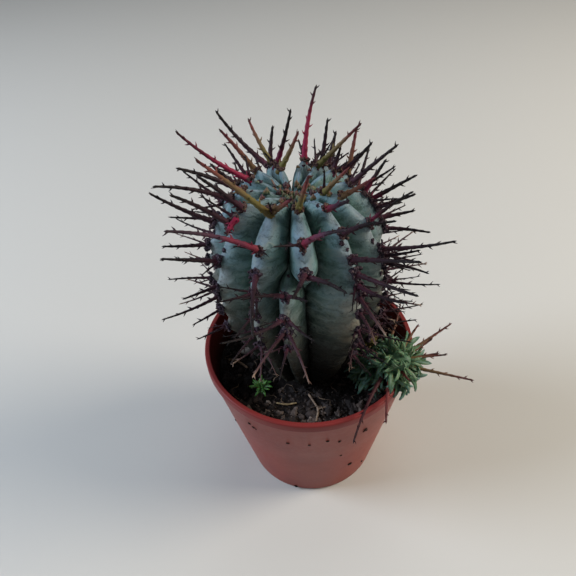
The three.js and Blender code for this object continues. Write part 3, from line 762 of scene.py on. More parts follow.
# %% Rib layout
STEM_CREST = [
    (12.6, 50), (12.6, 59), (17.6, 64), (24, 78), (29.2, 93.5), (31, 110),
    (29.5, 124), (23.5, 137.5), (14, 144.5), (5.5, 142.5), (0, 140),
]
STEM_FURROW = [
    (12.6, 50), (12.6, 59), (14.6, 64), (17.9, 78), (21, 93.5), (21.8, 110),
    (19.5, 123), (14.5, 132), (9.5, 136.5), (4, 139.3), (0, 140),
]
RIB_BEARINGS = [3, 35, 64, 94, 121, 143, 165, 200, 224, 247, 271, 298, 331, 349]
RIBS = len(RIB_BEARINGS)
STEM_LEAN = -0.02
LEANS_FROM = 58
# The front rib swells between two heights, and the one beside it fades out between two others. A
# rib that is gone keeps a trace of its width, so that its points don't fall on one another.
NARROW_RIB, NARROW_SWELLS = 0, (118, 131)
FORK_RIB, FORK_FADES = 13, (120, 129)
TRACE = 0.02
crest_curve = curve_through(STEM_CREST)
furrow_curve = curve_through(STEM_FURROW)


def rib_strength(rib, height):
    """How far a rib stands out at a height: 1 is a full rib and 0 is none."""
    if rib == NARROW_RIB:
        return mix(TRACE, 1, smooth(height, *NARROW_SWELLS))
    if rib == FORK_RIB:
        return mix(1, TRACE, smooth(height, *FORK_FADES))
    return 1


def furrow_bearing(rib, height):
    """The bearing of the furrow between a rib and the next one. A weak rib is a narrow one."""
    after = (rib + 1) % RIBS
    here = RIB_BEARINGS[rib]
    there = RIB_BEARINGS[after] + (360 if after < rib else 0)
    strength, strength_after = rib_strength(rib, height), rib_strength(after, height)
    return (here * strength_after + there * strength) / (strength + strength_after)


def stem_point(rib, across, along, roundness=1.7):
    """A point of the skin: across runs over one rib, and along from the foot to the dimple."""
    crest, furrow = crest_curve(along), furrow_curve(along)
    middle = RIB_BEARINGS[rib]
    left = furrow_bearing((rib - 1) % RIBS, crest.y) - (360 if rib == 0 else 0)
    right = furrow_bearing(rib, crest.y)
    side = 2 * across - 1
    around = math.radians(mix(middle, left, -side) if side < 0 else mix(middle, right, side))
    rise = rib_strength(rib, crest.y) * (1 - abs(side) ** roundness)
    radius, height = mix(furrow.x, crest.x, rise), mix(furrow.y, crest.y, rise)
    return Vector((STEM_AXIS_X + STEM_LEAN * (height - LEANS_FROM) + radius * math.sin(around),
                   -radius * math.cos(around), height))

# %% [markdown]
# The woody stalks are dried flower stems. The ones that stand out are placed one by one, with the
# colour that each has kept; between them a rule fills every rib, one or two stalks to an areole.
# The rule and its draws are those of the CAD source, so both models carry the same stalks.

# %% The stalks that stand out
# Each is (rib, height along the rib, bearing, elevation, length, colour).
MARKED_STALKS = [
    # crown, back and left
    (6, 0.76, 155, 59, 26, "crimson"), (9, 0.79, -84, 44, 29, "crimson"),
    (7, 0.73, -119, 42, 27, "dark"), (8, 0.77, -106, 53, 19, "brown"),
    (7, 0.765, -137, 52, 18, "olive"), (7, 0.79, 112, 71, 20, "scorched"),
    (7, 0.72, 165, 58, 15, "dark"), (7, 0.83, 95, 63, 15, "olive"), (9, 0.74, -100, 45, 12, "dark"),
    # crown, right
    (5, 0.77, 152, 68, 16, "dark"), (5, 0.8, 75, 49, 22, "olive"), (4, 0.72, 153, 59, 17, "brown"),
    (5, 0.73, 149, 57, 13, "dark"), (4, 0.78, 127, 67, 9, "dark"), (4, 0.75, 98, 44, 15, "dark"),
    (3, 0.76, 82, 45, 21, "dark"), (3, 0.71, 106, 56, 14, "scorched"),
    (3, 0.685, 88, 31, 18, "scorched"), (3, 0.66, 83, 23, 15, "dark"),
    (3, 0.63, 83, 15, 13, "dark"), (3, 0.6, 72, 2, 17, "dark"),
    # right flank and front
    (2, 0.62, 62, 23, 26, "dark"), (2, 0.6, 66, 24, 14, "dark"), (2, 0.58, 52, 10, 17, "dark"),
    (1, 0.65, 37, 30, 30, "dark"), (1, 0.62, 33, 20, 28, "dark"), (1, 0.59, 26, 26, 26, "dark"),
    (1, 0.56, 14, 9, 22, "faded"), (1, 0.51, 8, 12, 19, "faded"), (2, 0.84, 30, 50, 18, "olive"),
    (2, 0.78, 45, 44, 16, "brown"), (1, 0.78, 30, 40, 15, "rosy"), (0, 0.71, 38, 40, 24, "rosy"),
    (1, 0.71, 32, 41, 20, "dark"), (0, 0.8, 22, 64, 19, "olive"), (0, 0.65, -15, 19, 19, "dark"),
    (0, 0.64, 32, 22, 21, "dark"),
    # front left and left flank
    (12, 0.79, 28, 43, 18, "brown"), (12, 0.78, -56, 52, 34, "olive"),
    (12, 0.69, -52, 38, 36, "rosy"), (12, 0.64, -2, 4, 28, "dark"),
    (11, 0.76, -60, 52, 22, "dark"), (11, 0.73, -5, 22, 19, "crimson"),
    (11, 0.71, -62, 46, 25, "dark"), (11, 0.62, -63, 27, 21, "dark"),
    (11, 0.55, -56, 8, 14, "dark"), (11, 0.52, -58, 4, 22, "dark"), (11, 0.48, -54, 0, 13, "dark"),
    (10, 0.78, -66, 37, 25, "dark"), (10, 0.74, -62, 30, 28, "dark"),
    (10, 0.66, -92, 33, 24, "dark"), (10, 0.6, -79, 10, 17, "dark"),
    (10, 0.55, -87, 8, 18, "dark"), (10, 0.49, -87, 5, 17, "dark"),
    # the rib that starts in the fork of the front furrow
    (13, 0.59, -48, 32, 20, "dark"), (13, 0.59, 32, 30, 14, "dark"), (13, 0.54, -42, 25, 30, "dark"),
    (13, 0.54, 28, 17, 18, "dark"), (13, 0.5, -27, 9, 24, "faded"), (13, 0.5, 15, -2, 22, "faded"),
]

# %% The smaller plants that a stalk must clear
OFFSET_AXIS = [(23.5, -9.5, 49), (23.5, -9.5, 58), (26, -13.2, 66), (30, -18.2, 75), (35.6, -23.6, 82.5)]
OFFSET_TIPS = [
    (55.3, -8.4, 84), (42.4, -8.6, 85), (39.2, 8.4, 80), (47.2, -12.9, 81), (48.7, -18.6, 79),
    (51.6, -19.3, 78.5), (57.8, -32, 78.6), (24.2, -44.3, 73.6), (11.7, -51.2, 73.8), (34.6, -30.4, 79),
]
OFFSET_ROOTS = [0.8, 0.84, 0.5, 0.82, 0.76, 0.78, 0.74, 0.8, 0.8, 0.8]
BUD = {"foot": (26.4, 5.2), "radius": 3.6, "foot_radius": 2, "height": 9}
BUD_TIPS = [(27.6, 8.6, 77), (23.4, 8.8, 71.5), (29.8, 3.9, 72.5), (25.4, 2.2, 73)]
SPROUT_FOOT = (-20.4, -13.8)
offset_curve = curve_through(OFFSET_AXIS)
offset_lines = [(offset_curve(root), Vector(tip)) for root, tip in zip(OFFSET_ROOTS, OFFSET_TIPS)]
bud_middle = Vector((*BUD["foot"], SOIL_TOP + BUD["height"]))
sprout_middle = Vector((*SPROUT_FOOT, SOIL_TOP + 2))

ROOM = 1.15
OFFSET_STALK_REACH = 1.1
# The balls that a stalk stays out of, each (middle, radius).
KEPT_CLEAR = [(offset_curve(0.2 + 0.1 * i), 12.2) for i in range(9)]
KEPT_CLEAR += [(Vector(tip), 2.5) for tip in BUD_TIPS] + [(bud_middle, 8), (sprout_middle, 8)]


def is_clear(point):
    """Whether a point of a stalk is clear of the pot, the mix and the smaller plants."""
    beside_wall = point.z < POT["height"] + ROOM + 0.7
    if point.z < SOIL_TOP + 2 + ROOM:
        return False
    if beside_wall and math.hypot(point.x, point.y) > inner_wall(point.z) - ROOM - 0.8:
        return False
    if any((middle - point).length < radius + ROOM for middle, radius in KEPT_CLEAR):
        return False
    return all((nearest_on(*line, point) - point).length > OFFSET_STALK_REACH + ROOM
               for line in offset_lines)

# %% Keep a stalk and an areole
AREOLE_SPACING = 7.6
LOWEST, LOWEST_RIGHT_FRONT, HIGHEST = 0.42, 0.33, 0.8
SHORTER_AND_STEEPER = ((1, 0), (0.85, 8), (0.7, 16), (0.55, 26))
stalks = []
areoles = []


def place_stalk(rib, along, bearing, elevation, length, thickness, tone):
    """Adds a stalk, shorter and steeper where it would touch something, or none if all would touch.

    Low ones are old and thin."""
    root = stem_point(rib, 0.5, along)
    thickness *= mix(0.62, 1, smooth(along, 0.5, 0.72))
    for shorter, lift in SHORTER_AND_STEEPER:
        heading = direction(bearing, elevation + lift)
        reach = length * shorter
        if all(is_clear(root + heading * reach * (0.12 + 0.88 * i / 12)) for i in range(13)):
            stalks.append({"root": root, "heading": heading, "length": reach,
                           "thickness": thickness, "tone": tone})
            return


def note_areole(rib, along):
    """Keeps the place of an areole, unless its rib has one there already."""
    here = crest_curve(along)
    if all(r != rib or (crest_curve(a) - here).length > 2.5 for r, a in areoles):
        areoles.append((rib, along))


def crest_elevation(along):
    """Which way the crest of a rib faces, in degrees above the horizon."""
    tangent = crest_curve(along + 0.01) - crest_curve(along - 0.01)
    return math.degrees(math.atan2(-tangent.x, tangent.y))

# %% What the rule draws for an areole
def rule_tone(along, pick):
    """The colour of a stalk: anything while it is young, and faded on some of the lowest."""
    if along > 0.74:
        return ("olive", "brown", "dark", "scorched")[int(pick * 4)]
    return "faded" if along < 0.52 and pick < 0.5 else ("scorched" if pick > 0.93 else "dark")


def place_by_rule(rib, along, draws):
    """One stalk or a pair on an areole, from five drawn numbers."""
    young = smooth(along, 0.7, 0.86)
    low = 1 - smooth(along, 0.3, 0.45)
    length = mix(mix(13, 10, young), 9, low) + 7 * draws[0]
    lift = mix(crest_elevation(along) * 0.8 + 6, 50, 0.5 * young) + 14 * (draws[1] - 0.5)
    pair = draws[2] < 0.55
    spread = 24 + 14 * draws[3] if pair else 10 * (draws[3] - 0.5)
    tone = rule_tone(along, tone_draw.random())
    place_stalk(rib, along, RIB_BEARINGS[rib] + spread, lift, length, 0.8, tone)
    if pair:
        place_stalk(rib, along, RIB_BEARINGS[rib] - spread, lift + 10 * (draws[4] - 0.5),
                    length * 0.85, 0.72, tone)

# %% Place every stalk and every areole
CREST_STEP = 0.002
for rib, along, bearing, elevation, length, tone in MARKED_STALKS:
    place_stalk(rib, along, bearing, elevation, length, 1, tone)
    note_areole(rib, along)

draw = number_stream(20731)
tone_draw = Random(5)
for rib in range(RIBS):
    marked = [crest_curve(row[1]) for row in MARKED_STALKS if row[0] == rib]
    travelled = AREOLE_SPACING * draw()
    along = LOWEST_RIGHT_FRONT if 0 < rib < 4 else LOWEST
    last = crest_curve(along)
    while along < HIGHEST:
        here = crest_curve(along)
        travelled += (here - last).length
        last = here
        if travelled >= AREOLE_SPACING:
            travelled = 0
            draws = [draw() for _ in range(5)]
            taken = any((spot - here).length < 5 for spot in marked)
            if rib_strength(rib, here.y) >= 0.6 and not taken:
                note_areole(rib, along)
                place_by_rule(rib, along, draws)
        along += CREST_STEP
print(len(stalks), "stalks on", len(areoles), "areoles")

# %% Thin stalks between them
# Many areoles have kept a thin, short stalk or two as well, which close the plant's outline. The
# lower part of its right front is the most crowded.
draw = Random(88)
for rib, along in areoles:
    side = 1 if draw.random() < 0.5 else -1
    crowded = rib in (1, 2, 3) and along < 0.6
    count = 3 if crowded else int(draw.random() * 2.4)
    for turned in (side, -side, side * 0.4)[:count]:
        length = mix(7, 14, draw.random()) * mix(1, 0.7, smooth(along, 0.7, 0.85))
        lift = crest_elevation(along) * 0.7 + 26 * (draw.random() - 0.35)
        tone = "faded" if along < 0.55 and draw.random() < 0.5 else "dark"
        place_stalk(rib, along, RIB_BEARINGS[rib] + turned * mix(18, 58, draw.random()), lift, length,
                    0.52, tone)
print(len(stalks), "stalks in all")

# %% [markdown]
# ## The skin of the column
#
# A plain blend of the two outlines would look like moulded plastic. What makes it a plant is the
# small relief: a low bump under every areole and a crest that dips between them, slanted wrinkles
# across the lower flanks, and a slight waver everywhere. The skin carries painted numbers, which
# the finish reads: how far a point is up the side of its rib, how high up the plant it is, its
# distance along the crest and how near an areole is.

# %% Relief of the column
STEM_COLUMNS = RIBS * 18
STEM_ROWS = 250
BUMP_SIZE = 2.4
WAVER = 0.35
WRINKLE_PITCH = 2.2
WRINKLE_DEPTH = 1.1
# The first and last rows of a skin, told by their place from 0 to 1, close in one point each.
POLE_ROW = 0.0005


def crest_length(along, steps=160):
    """The distance in millimetres along a crest from its foot."""
    points = [crest_curve(along * i / steps) for i in range(steps + 1)]
    return sum((b - a).length for a, b in zip(points, points[1:]))


CREST_MARKS = [crest_length(i / STEM_ROWS) for i in range(STEM_ROWS + 1)]
rib_marks = [[CREST_MARKS[round(a * STEM_ROWS)] for r, a in areoles if r == rib] for rib in range(RIBS)]


def relief(rib, side, along, ridge):
    """How far the skin stands out of the plain blend, in millimetres, and how near an areole is."""
    mark = CREST_MARKS[round(along * STEM_ROWS)]
    near = max((math.exp(-((mark - spot) / BUMP_SIZE) ** 2) for spot in rib_marks[rib]), default=0)
    on_crest = math.exp(-(side / 0.24) ** 2) * rib_strength(rib, crest_curve(along).y)
    body = smooth(along, 0.2, 0.3) * (1 - smooth(along, 0.93, 0.98))
    wrinkled = (1 - smooth(along, 0.58, 0.7)) * smooth(along, 0.14, 0.24) * (1 - ridge * 0.35)
    waver = noise.noise(Vector((rib * 3.1 + side, mark / 9, 2)))
    sloped = mark + 3 * (1 - abs(side)) + 2.5 * noise.noise(Vector((rib + side, mark / 9, 4)))
    wrinkle = noise.noise(Vector((rib * 7.7 + side * 1.8, sloped / WRINKLE_PITCH, 5)))
    bumps = on_crest * (2 * near - 0.65) + WAVER * waver
    return body * bumps + WRINKLE_DEPTH * wrinkled * wrinkle, near * on_crest

# %% Model the column
def column_point(u, v):
    """A point of the column's skin, and its four painted numbers."""
    if v > 1 - POLE_ROW:
        return stem_point(0, 0, 1), 0, 1, 0, 0
    if v < POLE_ROW:
        return Vector((STEM_AXIS_X, 0, STEM_CREST[0][1])), 0, 0, 0, 0
    # A whole number of columns may come out a hair too small, and is lifted back over it.
    place = u * RIBS
    rib = int(place + 1e-6)
    across = place - rib
    side = 2 * across - 1
    plump = mix(1.55, 2.3, smooth(v, 0.5, 0.75))
    point = stem_point(rib % RIBS, across, v, plump)
    ridge = (1 - abs(side)) * rib_strength(rib % RIBS, point.z)
    level = Vector((point.x - STEM_AXIS_X, point.y, 0)).normalized()
    slope = math.radians(crest_elevation(min(max(v, 0.02), 0.97)))
    out = level * math.cos(slope) + UP * math.sin(slope)
    rise, near = relief(rib % RIBS, side, v, ridge)
    return point + out * rise, ridge, v, CREST_MARKS[round(v * STEM_ROWS)], near


bm = skin(STEM_COLUMNS, STEM_ROWS, column_point, ("ridge", "along", "mark", "near"))
print(len(bm.verts), "points on the column,", round(CREST_MARKS[-1], 1), "mm up a crest")

# %% [markdown]
# ## The finish of the column
#
# The skin is a waxy blue-grey bloom over green. It is mottled by clouds of four sizes, streaked
# across the ribs, flecked with purple on the crests, and rubbed down to a grey-brown near the mix.
# Painted shade darkens the bottom of each furrow and the foot of the column, where the body above
# shades it.
# The clouds and the painted numbers are read first. Masks are then cut from them, and the last
# table lays one colour over another, each through its mask.

# %% Clouds, masks and layers of the skin
# Each cloud: name, size in millimetres, detail and roughness.
SKIN_CLOUDS = [("cloud", 9, 6, 0.62), ("patch", 3.2, 5, 0.65), ("fine", 0.8, 4, 0.6), ("large", 24, 2, 0.5)]
# Each mask: name, the pattern it is cut from, where it starts and ends there, and its two values.
SKIN_MASKS = [
    ("rubbed", "cloud", 0.3, 0.7, -0.25, 0.25),
    ("height", "along", 0.44, 0.68, 0, 1),
    ("flushed", "large", 0.5, 0.7, 0, 0.3),
    ("dark_streak", "streak", 0.5, 0.36, 0, 0.65),
    ("pale_streak", "streak", 0.52, 0.66, 0, 0.55),
    ("worn", "patch", 0.5, 0.64, 0, 0.62),
    ("crest", "ridge", 0.7, 1, 0, 0.35),
    ("fleck", "fine", 0.6, 0.68, 0, 1),
    ("on_crest", "ridge", 0.5, 0.9, 0.12, 0.6),
    ("waxed", "patch", 0.5, 0.32, 0, 0.4),
    # Painted shade: a dark line painted along the bottom of each furrow.
    ("furrow_shade", "ridge", 0.01, 0.11, 0.85, 0),
    # Painted shade on the foot of the column, where the overhanging body shades it; with hollow, strongest
    # in the furrows.
    ("under", "along", 0.53, 0.4, 0, 1),
    ("hollow", "ridge", 0, 1, 0.97, 0.86),
    ("low", "along", 0.9, 0.5, 0.35, 1),
    ("rough", "patch", 0, 1, 0.45, 0.68),
]
# Each pattern or mask made from two others: name, how, and the two.
SKIN_PAIRS = [
    ("edge", "ADD", "ridge", "rubbed"),
    ("scarred", "MAXIMUM", "crest", "near"),
    ("worn_crest", "MULTIPLY", "worn", "scarred"),
    ("flecks", "MULTIPLY", "fleck", "on_crest"),
    ("foot_shade", "MULTIPLY", "under", "hollow"),
    ("wrinkles", "MULTIPLY", "streak", "low"),
]
# The layers of colour, from the lowest: a flush of purple, streaks, worn and flecked crests, thick
# wax, painted shade as a dark line in each furrow, and painted shade on the foot.
SKIN_LAYERS = [
    ("flushed", "#77747c"), ("dark_streak", "#2e4640"), ("pale_streak", "#8a9a94"),
    ("worn_crest", "#4a4750"), ("flecks", "#2f2a38"), ("waxed", "#7e989f"), ("furrow_shade", "#0d1914"),
    ("foot_shade", "#090d09"),
]
UPPER_SKIN = [(0, "#456860"), (0.25, "#638780"), (0.55, "#6d9196"), (0.8, "#738d98"), (1, "#7f98a6")]
LOWER_SKIN = [(0, "#2a3a33"), (0.3, "#45564e"), (0.6, "#6a6f63"), (0.82, "#888471"), (1, "#99917c")]
STREAK_WIDTH = 2.4

# %% Patterns of the skin
def skin_patterns(tree, place):
    """The painted numbers, the clouds, and streaks that slant down the ribs' sides, by name."""
    seen = {name: add(tree, "Attribute", attribute_name=name).outputs["Fac"]
            for name in ("ridge", "along", "mark", "near")}
    for name, size, detail, rough in SKIN_CLOUDS:
        seen[name] = add(tree, "TexNoise", {"Vector": place, "Scale": 1 / (size * MM),
                                            "Detail": detail, "Roughness": rough}).outputs[0]
    bent = add(tree, "Math", {0: seen["cloud"], 1: 5}, operation="MULTIPLY").outputs[0]
    slant = add(tree, "Math", {0: seen["ridge"], 1: 1.1, 2: bent}, operation="MULTIPLY_ADD").outputs[0]
    down = add(tree, "Math", {0: seen["mark"], 1: 1 / STREAK_WIDTH, 2: slant},
               operation="MULTIPLY_ADD").outputs[0]
    across = add(tree, "CombineXYZ", {0: down, 1: seen["ridge"], 2: bent}).outputs[0]
    seen["streak"] = add(tree, "TexNoise", {"Vector": across, "Scale": 1, "Detail": 5,
                                            "Roughness": 0.62}).outputs[0]
    return seen

# %% Dress the column
def waxy_skin(tree, place):
    """Succulent skin: a waxy blue-grey bloom over green, rubbed off in the furrows and below, with painted
    shade in the furrows and on the foot.
    """
    seen = skin_patterns(tree, place)
    for name, source, start, end, low, high in SKIN_MASKS:
        seen[name] = add(tree, "MapRange", {"Value": seen[source], "From Min": start, "From Max": end,
                                            "To Min": low, "To Max": high}).outputs[0]
    for name, how, one, other in SKIN_PAIRS:
        seen[name] = add(tree, "Math", {0: seen[one], 1: seen[other]}, operation=how).outputs[0]

    upper = add(tree, "ValToRGB", {"Fac": seen["edge"]}, stops=UPPER_SKIN).outputs[0]
    lower = add(tree, "ValToRGB", {"Fac": seen["edge"]}, stops=LOWER_SKIN).outputs[0]
    colour = add(tree, "Mix", {0: seen["height"], 6: lower, 7: upper}, data_type="RGBA").outputs[2]
    for name, over in SKIN_LAYERS:
        colour = add(tree, "Mix", {0: seen[name], 6: colour, 7: linear(over)},
                     data_type="RGBA").outputs[2]

    creased = add(tree, "Bump", {"Height": seen["wrinkles"], "Strength": 0.8,
                                 "Distance": 1.5 * MM}).outputs[0]
    normal = add(tree, "Bump", {"Height": seen["fine"], "Strength": 0.3, "Distance": 0.1 * MM,
                                "Normal": creased}).outputs[0]
    return {"Base Color": colour, "Roughness": seen["rough"], "IOR": 1.45,
            "Specular IOR Level": 0.35, "Normal": normal}


skin_finish = make_finish("waxy_succulent_skin", waxy_skin)
finish_piece(bm, "ribbed_column", skin_finish, "main_stem")

# %% [markdown]
# ## Areoles
#
# Each areole is a corky cushion on the crest, with the scars of fallen leaves and stalks in it:
# little knobs, purple-brown with tan faces. They are stamped from two balls. Above some of the
# cushions a small scar or two lies sunk in the crest.

# %% Finish of the areoles
OLD_CORK = [(0.36, "#120e14"), (0.48, "#2b2130"), (0.58, "#4b3d4b"), (0.7, "#a4948a")]
YOUNG_CORK = [(0.36, "#1c1315"), (0.47, "#40282e"), (0.58, "#625042"), (0.7, "#9a8a6c")]


def corky_cushion(tree, place):
    """Areole cork: dry purple-brown, with tan faces where a stalk has dropped."""
    speck = add(tree, "TexNoise", {"Vector": place, "Scale": 1 / (0.6 * MM), "Detail": 5,
                                   "Roughness": 0.75}).outputs[0]
    age = add(tree, "Attribute", attribute_name="age").outputs["Fac"]
    old = add(tree, "ValToRGB", {"Fac": speck}, stops=OLD_CORK).outputs[0]
    young = add(tree, "ValToRGB", {"Fac": speck}, stops=YOUNG_CORK).outputs[0]
    colour = add(tree, "Mix", {0: age, 6: old, 7: young}, data_type="RGBA").outputs[2]
    normal = add(tree, "Bump", {"Height": speck, "Strength": 0.8, "Distance": 0.2 * MM}).outputs[0]
    return {"Base Color": colour, "Roughness": 0.8, "Specular IOR Level": 0.25, "Normal": normal}

# %% Model the areoles
CUSHION_KNOBS = 9
SCAR_KNOBS = 5
SCAR_DEPTH = 1.35
# How far along the rib above an areole its scars may lie.
SCAR_STEPS = (0.024, 0.041)


def crest_frame(rib, along):
    """A turn whose Z stands out of the crest and whose Y runs up it, and the point on the skin."""
    out = direction(RIB_BEARINGS[rib], crest_elevation(along))
    up = (stem_point(rib, 0.5, along + 0.01) - stem_point(rib, 0.5, along - 0.01)).normalized()
    side = up.cross(out).normalized()
    turn = Matrix((side, out.cross(side), out)).transposed()
    return turn, stem_point(rib, 0.5, along) + out


def stamp_knobs(bm, layer, turn, spot, size, count, age, draw):
    """One cushion with knobs on it, standing on the skin at spot."""
    def cushion(co):
        lump = uneven(co, 0.6, spot.x, 0.7) * size
        return spot + turn @ Vector((lump.x * 0.85, lump.y, lump.z * 0.45))

    stamp(bm, round_ball, cushion, layer, lambda co: age)
    for knob in range(count):
        around = 2 * math.pi * (knob + draw.random()) / count
        at = Vector((math.cos(around), math.sin(around), 0)) * size * mix(0.6, 1.05, draw.random())
        at.z = 0.5 * size - 0.3 * at.length
        wide = mix(0.2, 0.34, draw.random()) * size
        tall = wide * mix(0.9, 1.7, draw.random())
        stamp(bm, small_ball,
              lambda co: spot + turn @ (at + Vector((co.x * wide, co.y * wide, co.z * tall))),
              layer, lambda co: min(max(age + 0.35 * co.z, 0), 1))


cork_finish = make_finish("areole_cork", corky_cushion)
bm, age_layer = painted_mesh("age")
draw = Random(311)
for rib, along in areoles:
    turn, spot = crest_frame(rib, along)
    age = smooth(along, 0.62, 0.8)
    size = mix(2.05, 1.7, age) * mix(0.9, 1.15, draw.random())
    stamp_knobs(bm, age_layer, turn, spot, size, CUSHION_KNOBS, age, draw)
    for step in SCAR_STEPS:
        if draw.random() < 0.4 and along + step < 0.9:
            turn, spot = crest_frame(rib, along + step)
            spot += turn @ Vector((1.6 * draw.random() - 0.8, draw.random() - 0.5, -SCAR_DEPTH))
            size = mix(0.5, 1.05, draw.random())
            stamp_knobs(bm, age_layer, turn, spot, size, SCAR_KNOBS, 0, draw)
finish_piece(bm, "areole_cushions", cork_finish, "main_stem", smooth_shaded=False)

# %% [markdown]
# ## A leaf to stamp
#
# Leaves of three sizes grow on this plant: scales in the crown, blades on the offset and the
# seedling's. One narrow blade is modelled flat, and bent along an arc when it is stamped.

# %% A leaf and its stamp
LEAF_COLUMNS = 2
LEAF_ROWS = 7
LEAF_THICKNESS = 0.055
SUNK_FOOT = 0.8


def add_leaf(bm):
    """A leaf one unit long along Y, its face towards Z: narrow, channelled, widest past its middle."""
    bmesh.ops.create_grid(bm, x_segments=LEAF_COLUMNS, y_segments=LEAF_ROWS, size=0.5)
    for vert in bm.verts:
        side, k = 2 * vert.co.x, vert.co.y + 0.5
        width = 0.11 + 0.05 * smooth(k, 0.1, 0.5) - 0.13 * smooth(k, 0.74, 1.03)
        vert.co = (side * width / 2, k, 0.045 * abs(side) * math.sin(math.pi * k))
    bmesh.ops.solidify(bm, geom=bm.faces[:], thickness=LEAF_THICKNESS)


leaf_template = template(add_leaf)


def stamp_leaf(bm, layer, foot, heading, face, length, curl, tip, sway=0):
    """One leaf from its foot. It leaves along heading and curls back, away from face, and aside."""
    across = heading.cross(face).normalized()
    over = across.cross(heading).normalized()

    def place(co):
        bend = curl * co.y
        ahead = math.sin(bend) / bend if abs(bend) > 0.01 else 1
        drop = (1 - math.cos(bend)) / bend if abs(bend) > 0.01 else 0
        aside = across * (sway * math.sin(2.6 * co.y))
        local = heading * (co.y * ahead) - over * (co.y * drop) + aside
        normal = over * math.cos(bend) + heading * math.sin(bend)
        blade = local + across * co.x + normal * co.z
        return foot - heading * SUNK_FOOT + blade * (length + SUNK_FOOT)

    stamp(bm, leaf_template, place, layer,
          lambda co: 0.7 * tip * mix(1, 0.5, co.y) + 0.6 * smooth(abs(co.x), 0.045, 0.075))

# %% [markdown]
# ## The growing crown
#
# New leaves and stalks start as knobs round the growing point, olive, brown and wine red, and one
# in five has a scale leaf that soon dries off. They stand densest where the ribs meet. Each is a
# ball drawn out upwards with three smaller ones round it, and a number painted on it picks its
# colour.

# %% Finish of the knobs
def growing_knob(tree, place):
    """Growing point: thin-skinned and waxy, from olive over brown to wine red."""
    tint = add(tree, "Attribute", attribute_name="tint").outputs["Fac"]
    cloud = add(tree, "TexNoise", {"Vector": place, "Scale": 1 / (1.5 * MM), "Detail": 4}).outputs[0]
    spread = add(tree, "MapRange", {"Value": cloud, "To Min": -0.3, "To Max": 0.3}).outputs[0]
    shifted = add(tree, "Math", {0: tint, 1: spread}, operation="ADD").outputs[0]
    colour = add(tree, "ValToRGB", {"Fac": shifted},
                 stops=[(0, "#46604f"), (0.2, "#5c6446"), (0.42, "#66553b"), (0.62, "#603a33"),
                        (0.82, "#45202a"), (1, "#26161a")]).outputs[0]
    normal = add(tree, "Bump", {"Height": cloud, "Strength": 0.6, "Distance": 0.2 * MM}).outputs[0]
    return {"Base Color": colour, "Roughness": 0.55, "Normal": normal}

# %% Model the crown's knobs
# Each place along a rib, and how many knobs stand there. A part of a knob is the chance of one.
KNOB_PLACES = [(0.825, 0.35), (0.86, 0.6), (0.895, 1), (0.93, 1.1), (0.962, 1)]
KNOB_LOBES = 4
KNOB_SPREAD = 2.6
SCALE_LEAF_CHANCE = 0.2
bm, tint_layer = painted_mesh("tint")
draw = Random(64)
for rib in range(RIBS):
    for along, crowding in KNOB_PLACES:
        turn, spot = crest_frame(rib, along)
        lean = facing((turn.col[2] + UP * 1.4).normalized())
        for knob in range(int(crowding + draw.random())):
            aside = Vector((draw.random() - 0.5, draw.random() - 0.5, -0.25)) * KNOB_SPREAD
            middle = spot + turn @ aside
            large = mix(0.55, 1.15, draw.random() ** 1.5)
            tint = draw.random() * mix(1, 0.6, smooth(along, 0.88, 0.95))
            for lobe in range(KNOB_LOBES):
                around = 2.1 * lobe
                aside = Vector((math.cos(around), math.sin(around), -0.3)) if lobe else Vector()
                foot = middle + lean @ aside * large * 0.9
                size = large * (mix(0.4, 0.65, draw.random()) if lobe else 0.9)
                tall = size * mix(0.9, 1.9, draw.random())
                shade = tint + (0.5 * draw.random() - 0.25 if lobe else 0)

                def grown(co):
                    lump = uneven(co, 0.6, foot.x, 0.5)
                    wide = size * (1 - 0.45 * max(lump.z, 0))
                    return foot + lean @ Vector((lump.x * wide, lump.y * wide, lump.z * tall))

                stamp(bm, small_ball if lobe else round_ball, grown, tint_layer,
                      lambda co: shade + 0.25 * co.z)
            if draw.random() < SCALE_LEAF_CHANCE:
                heading = (direction(360 * draw.random(), 0) + UP * 1.6).normalized()
                length = mix(1.6, 3, draw.random())
                stamp_leaf(bm, tint_layer, middle, heading, UP, length, 0.5, tint * 0.7)
knob_finish = make_finish("growing_knob", growing_knob)
finish_piece(bm, "crown_knobs", knob_finish, "main_stem")

# %% [markdown]
# ## The woody stalks
#
# A stalk is about two millimetres thick at its root and tapers to a point. Every two or three
# millimetres it has a swollen node with a short, sharp bract, each on another side. Low, old stalks
# are thinner. A stalk with a given number of bracts is modelled once as a tube with smaller tubes on
# it, and stamped with its own length, thickness and slight bend. Its colour runs from root to tip,
# so each vertex keeps how far out it is.

# %% Stalk templates
BRACT_SPACING = 2.5
BRACT_TURN = 2.4
STALK_ROOT = 1.02
STALK_TIP = 0.36
STALK_POINT = 0.06
STALK_SIDES = 6
BRACT_SIDES = 3
BRACT_COUNTS = range(2, 15)


def stalk_radius(k):
    """The radius at k of the way to the tip, a little flared at the root."""
    return mix(STALK_ROOT, STALK_TIP, k) * (1 + 0.28 * math.exp(-k * 16))


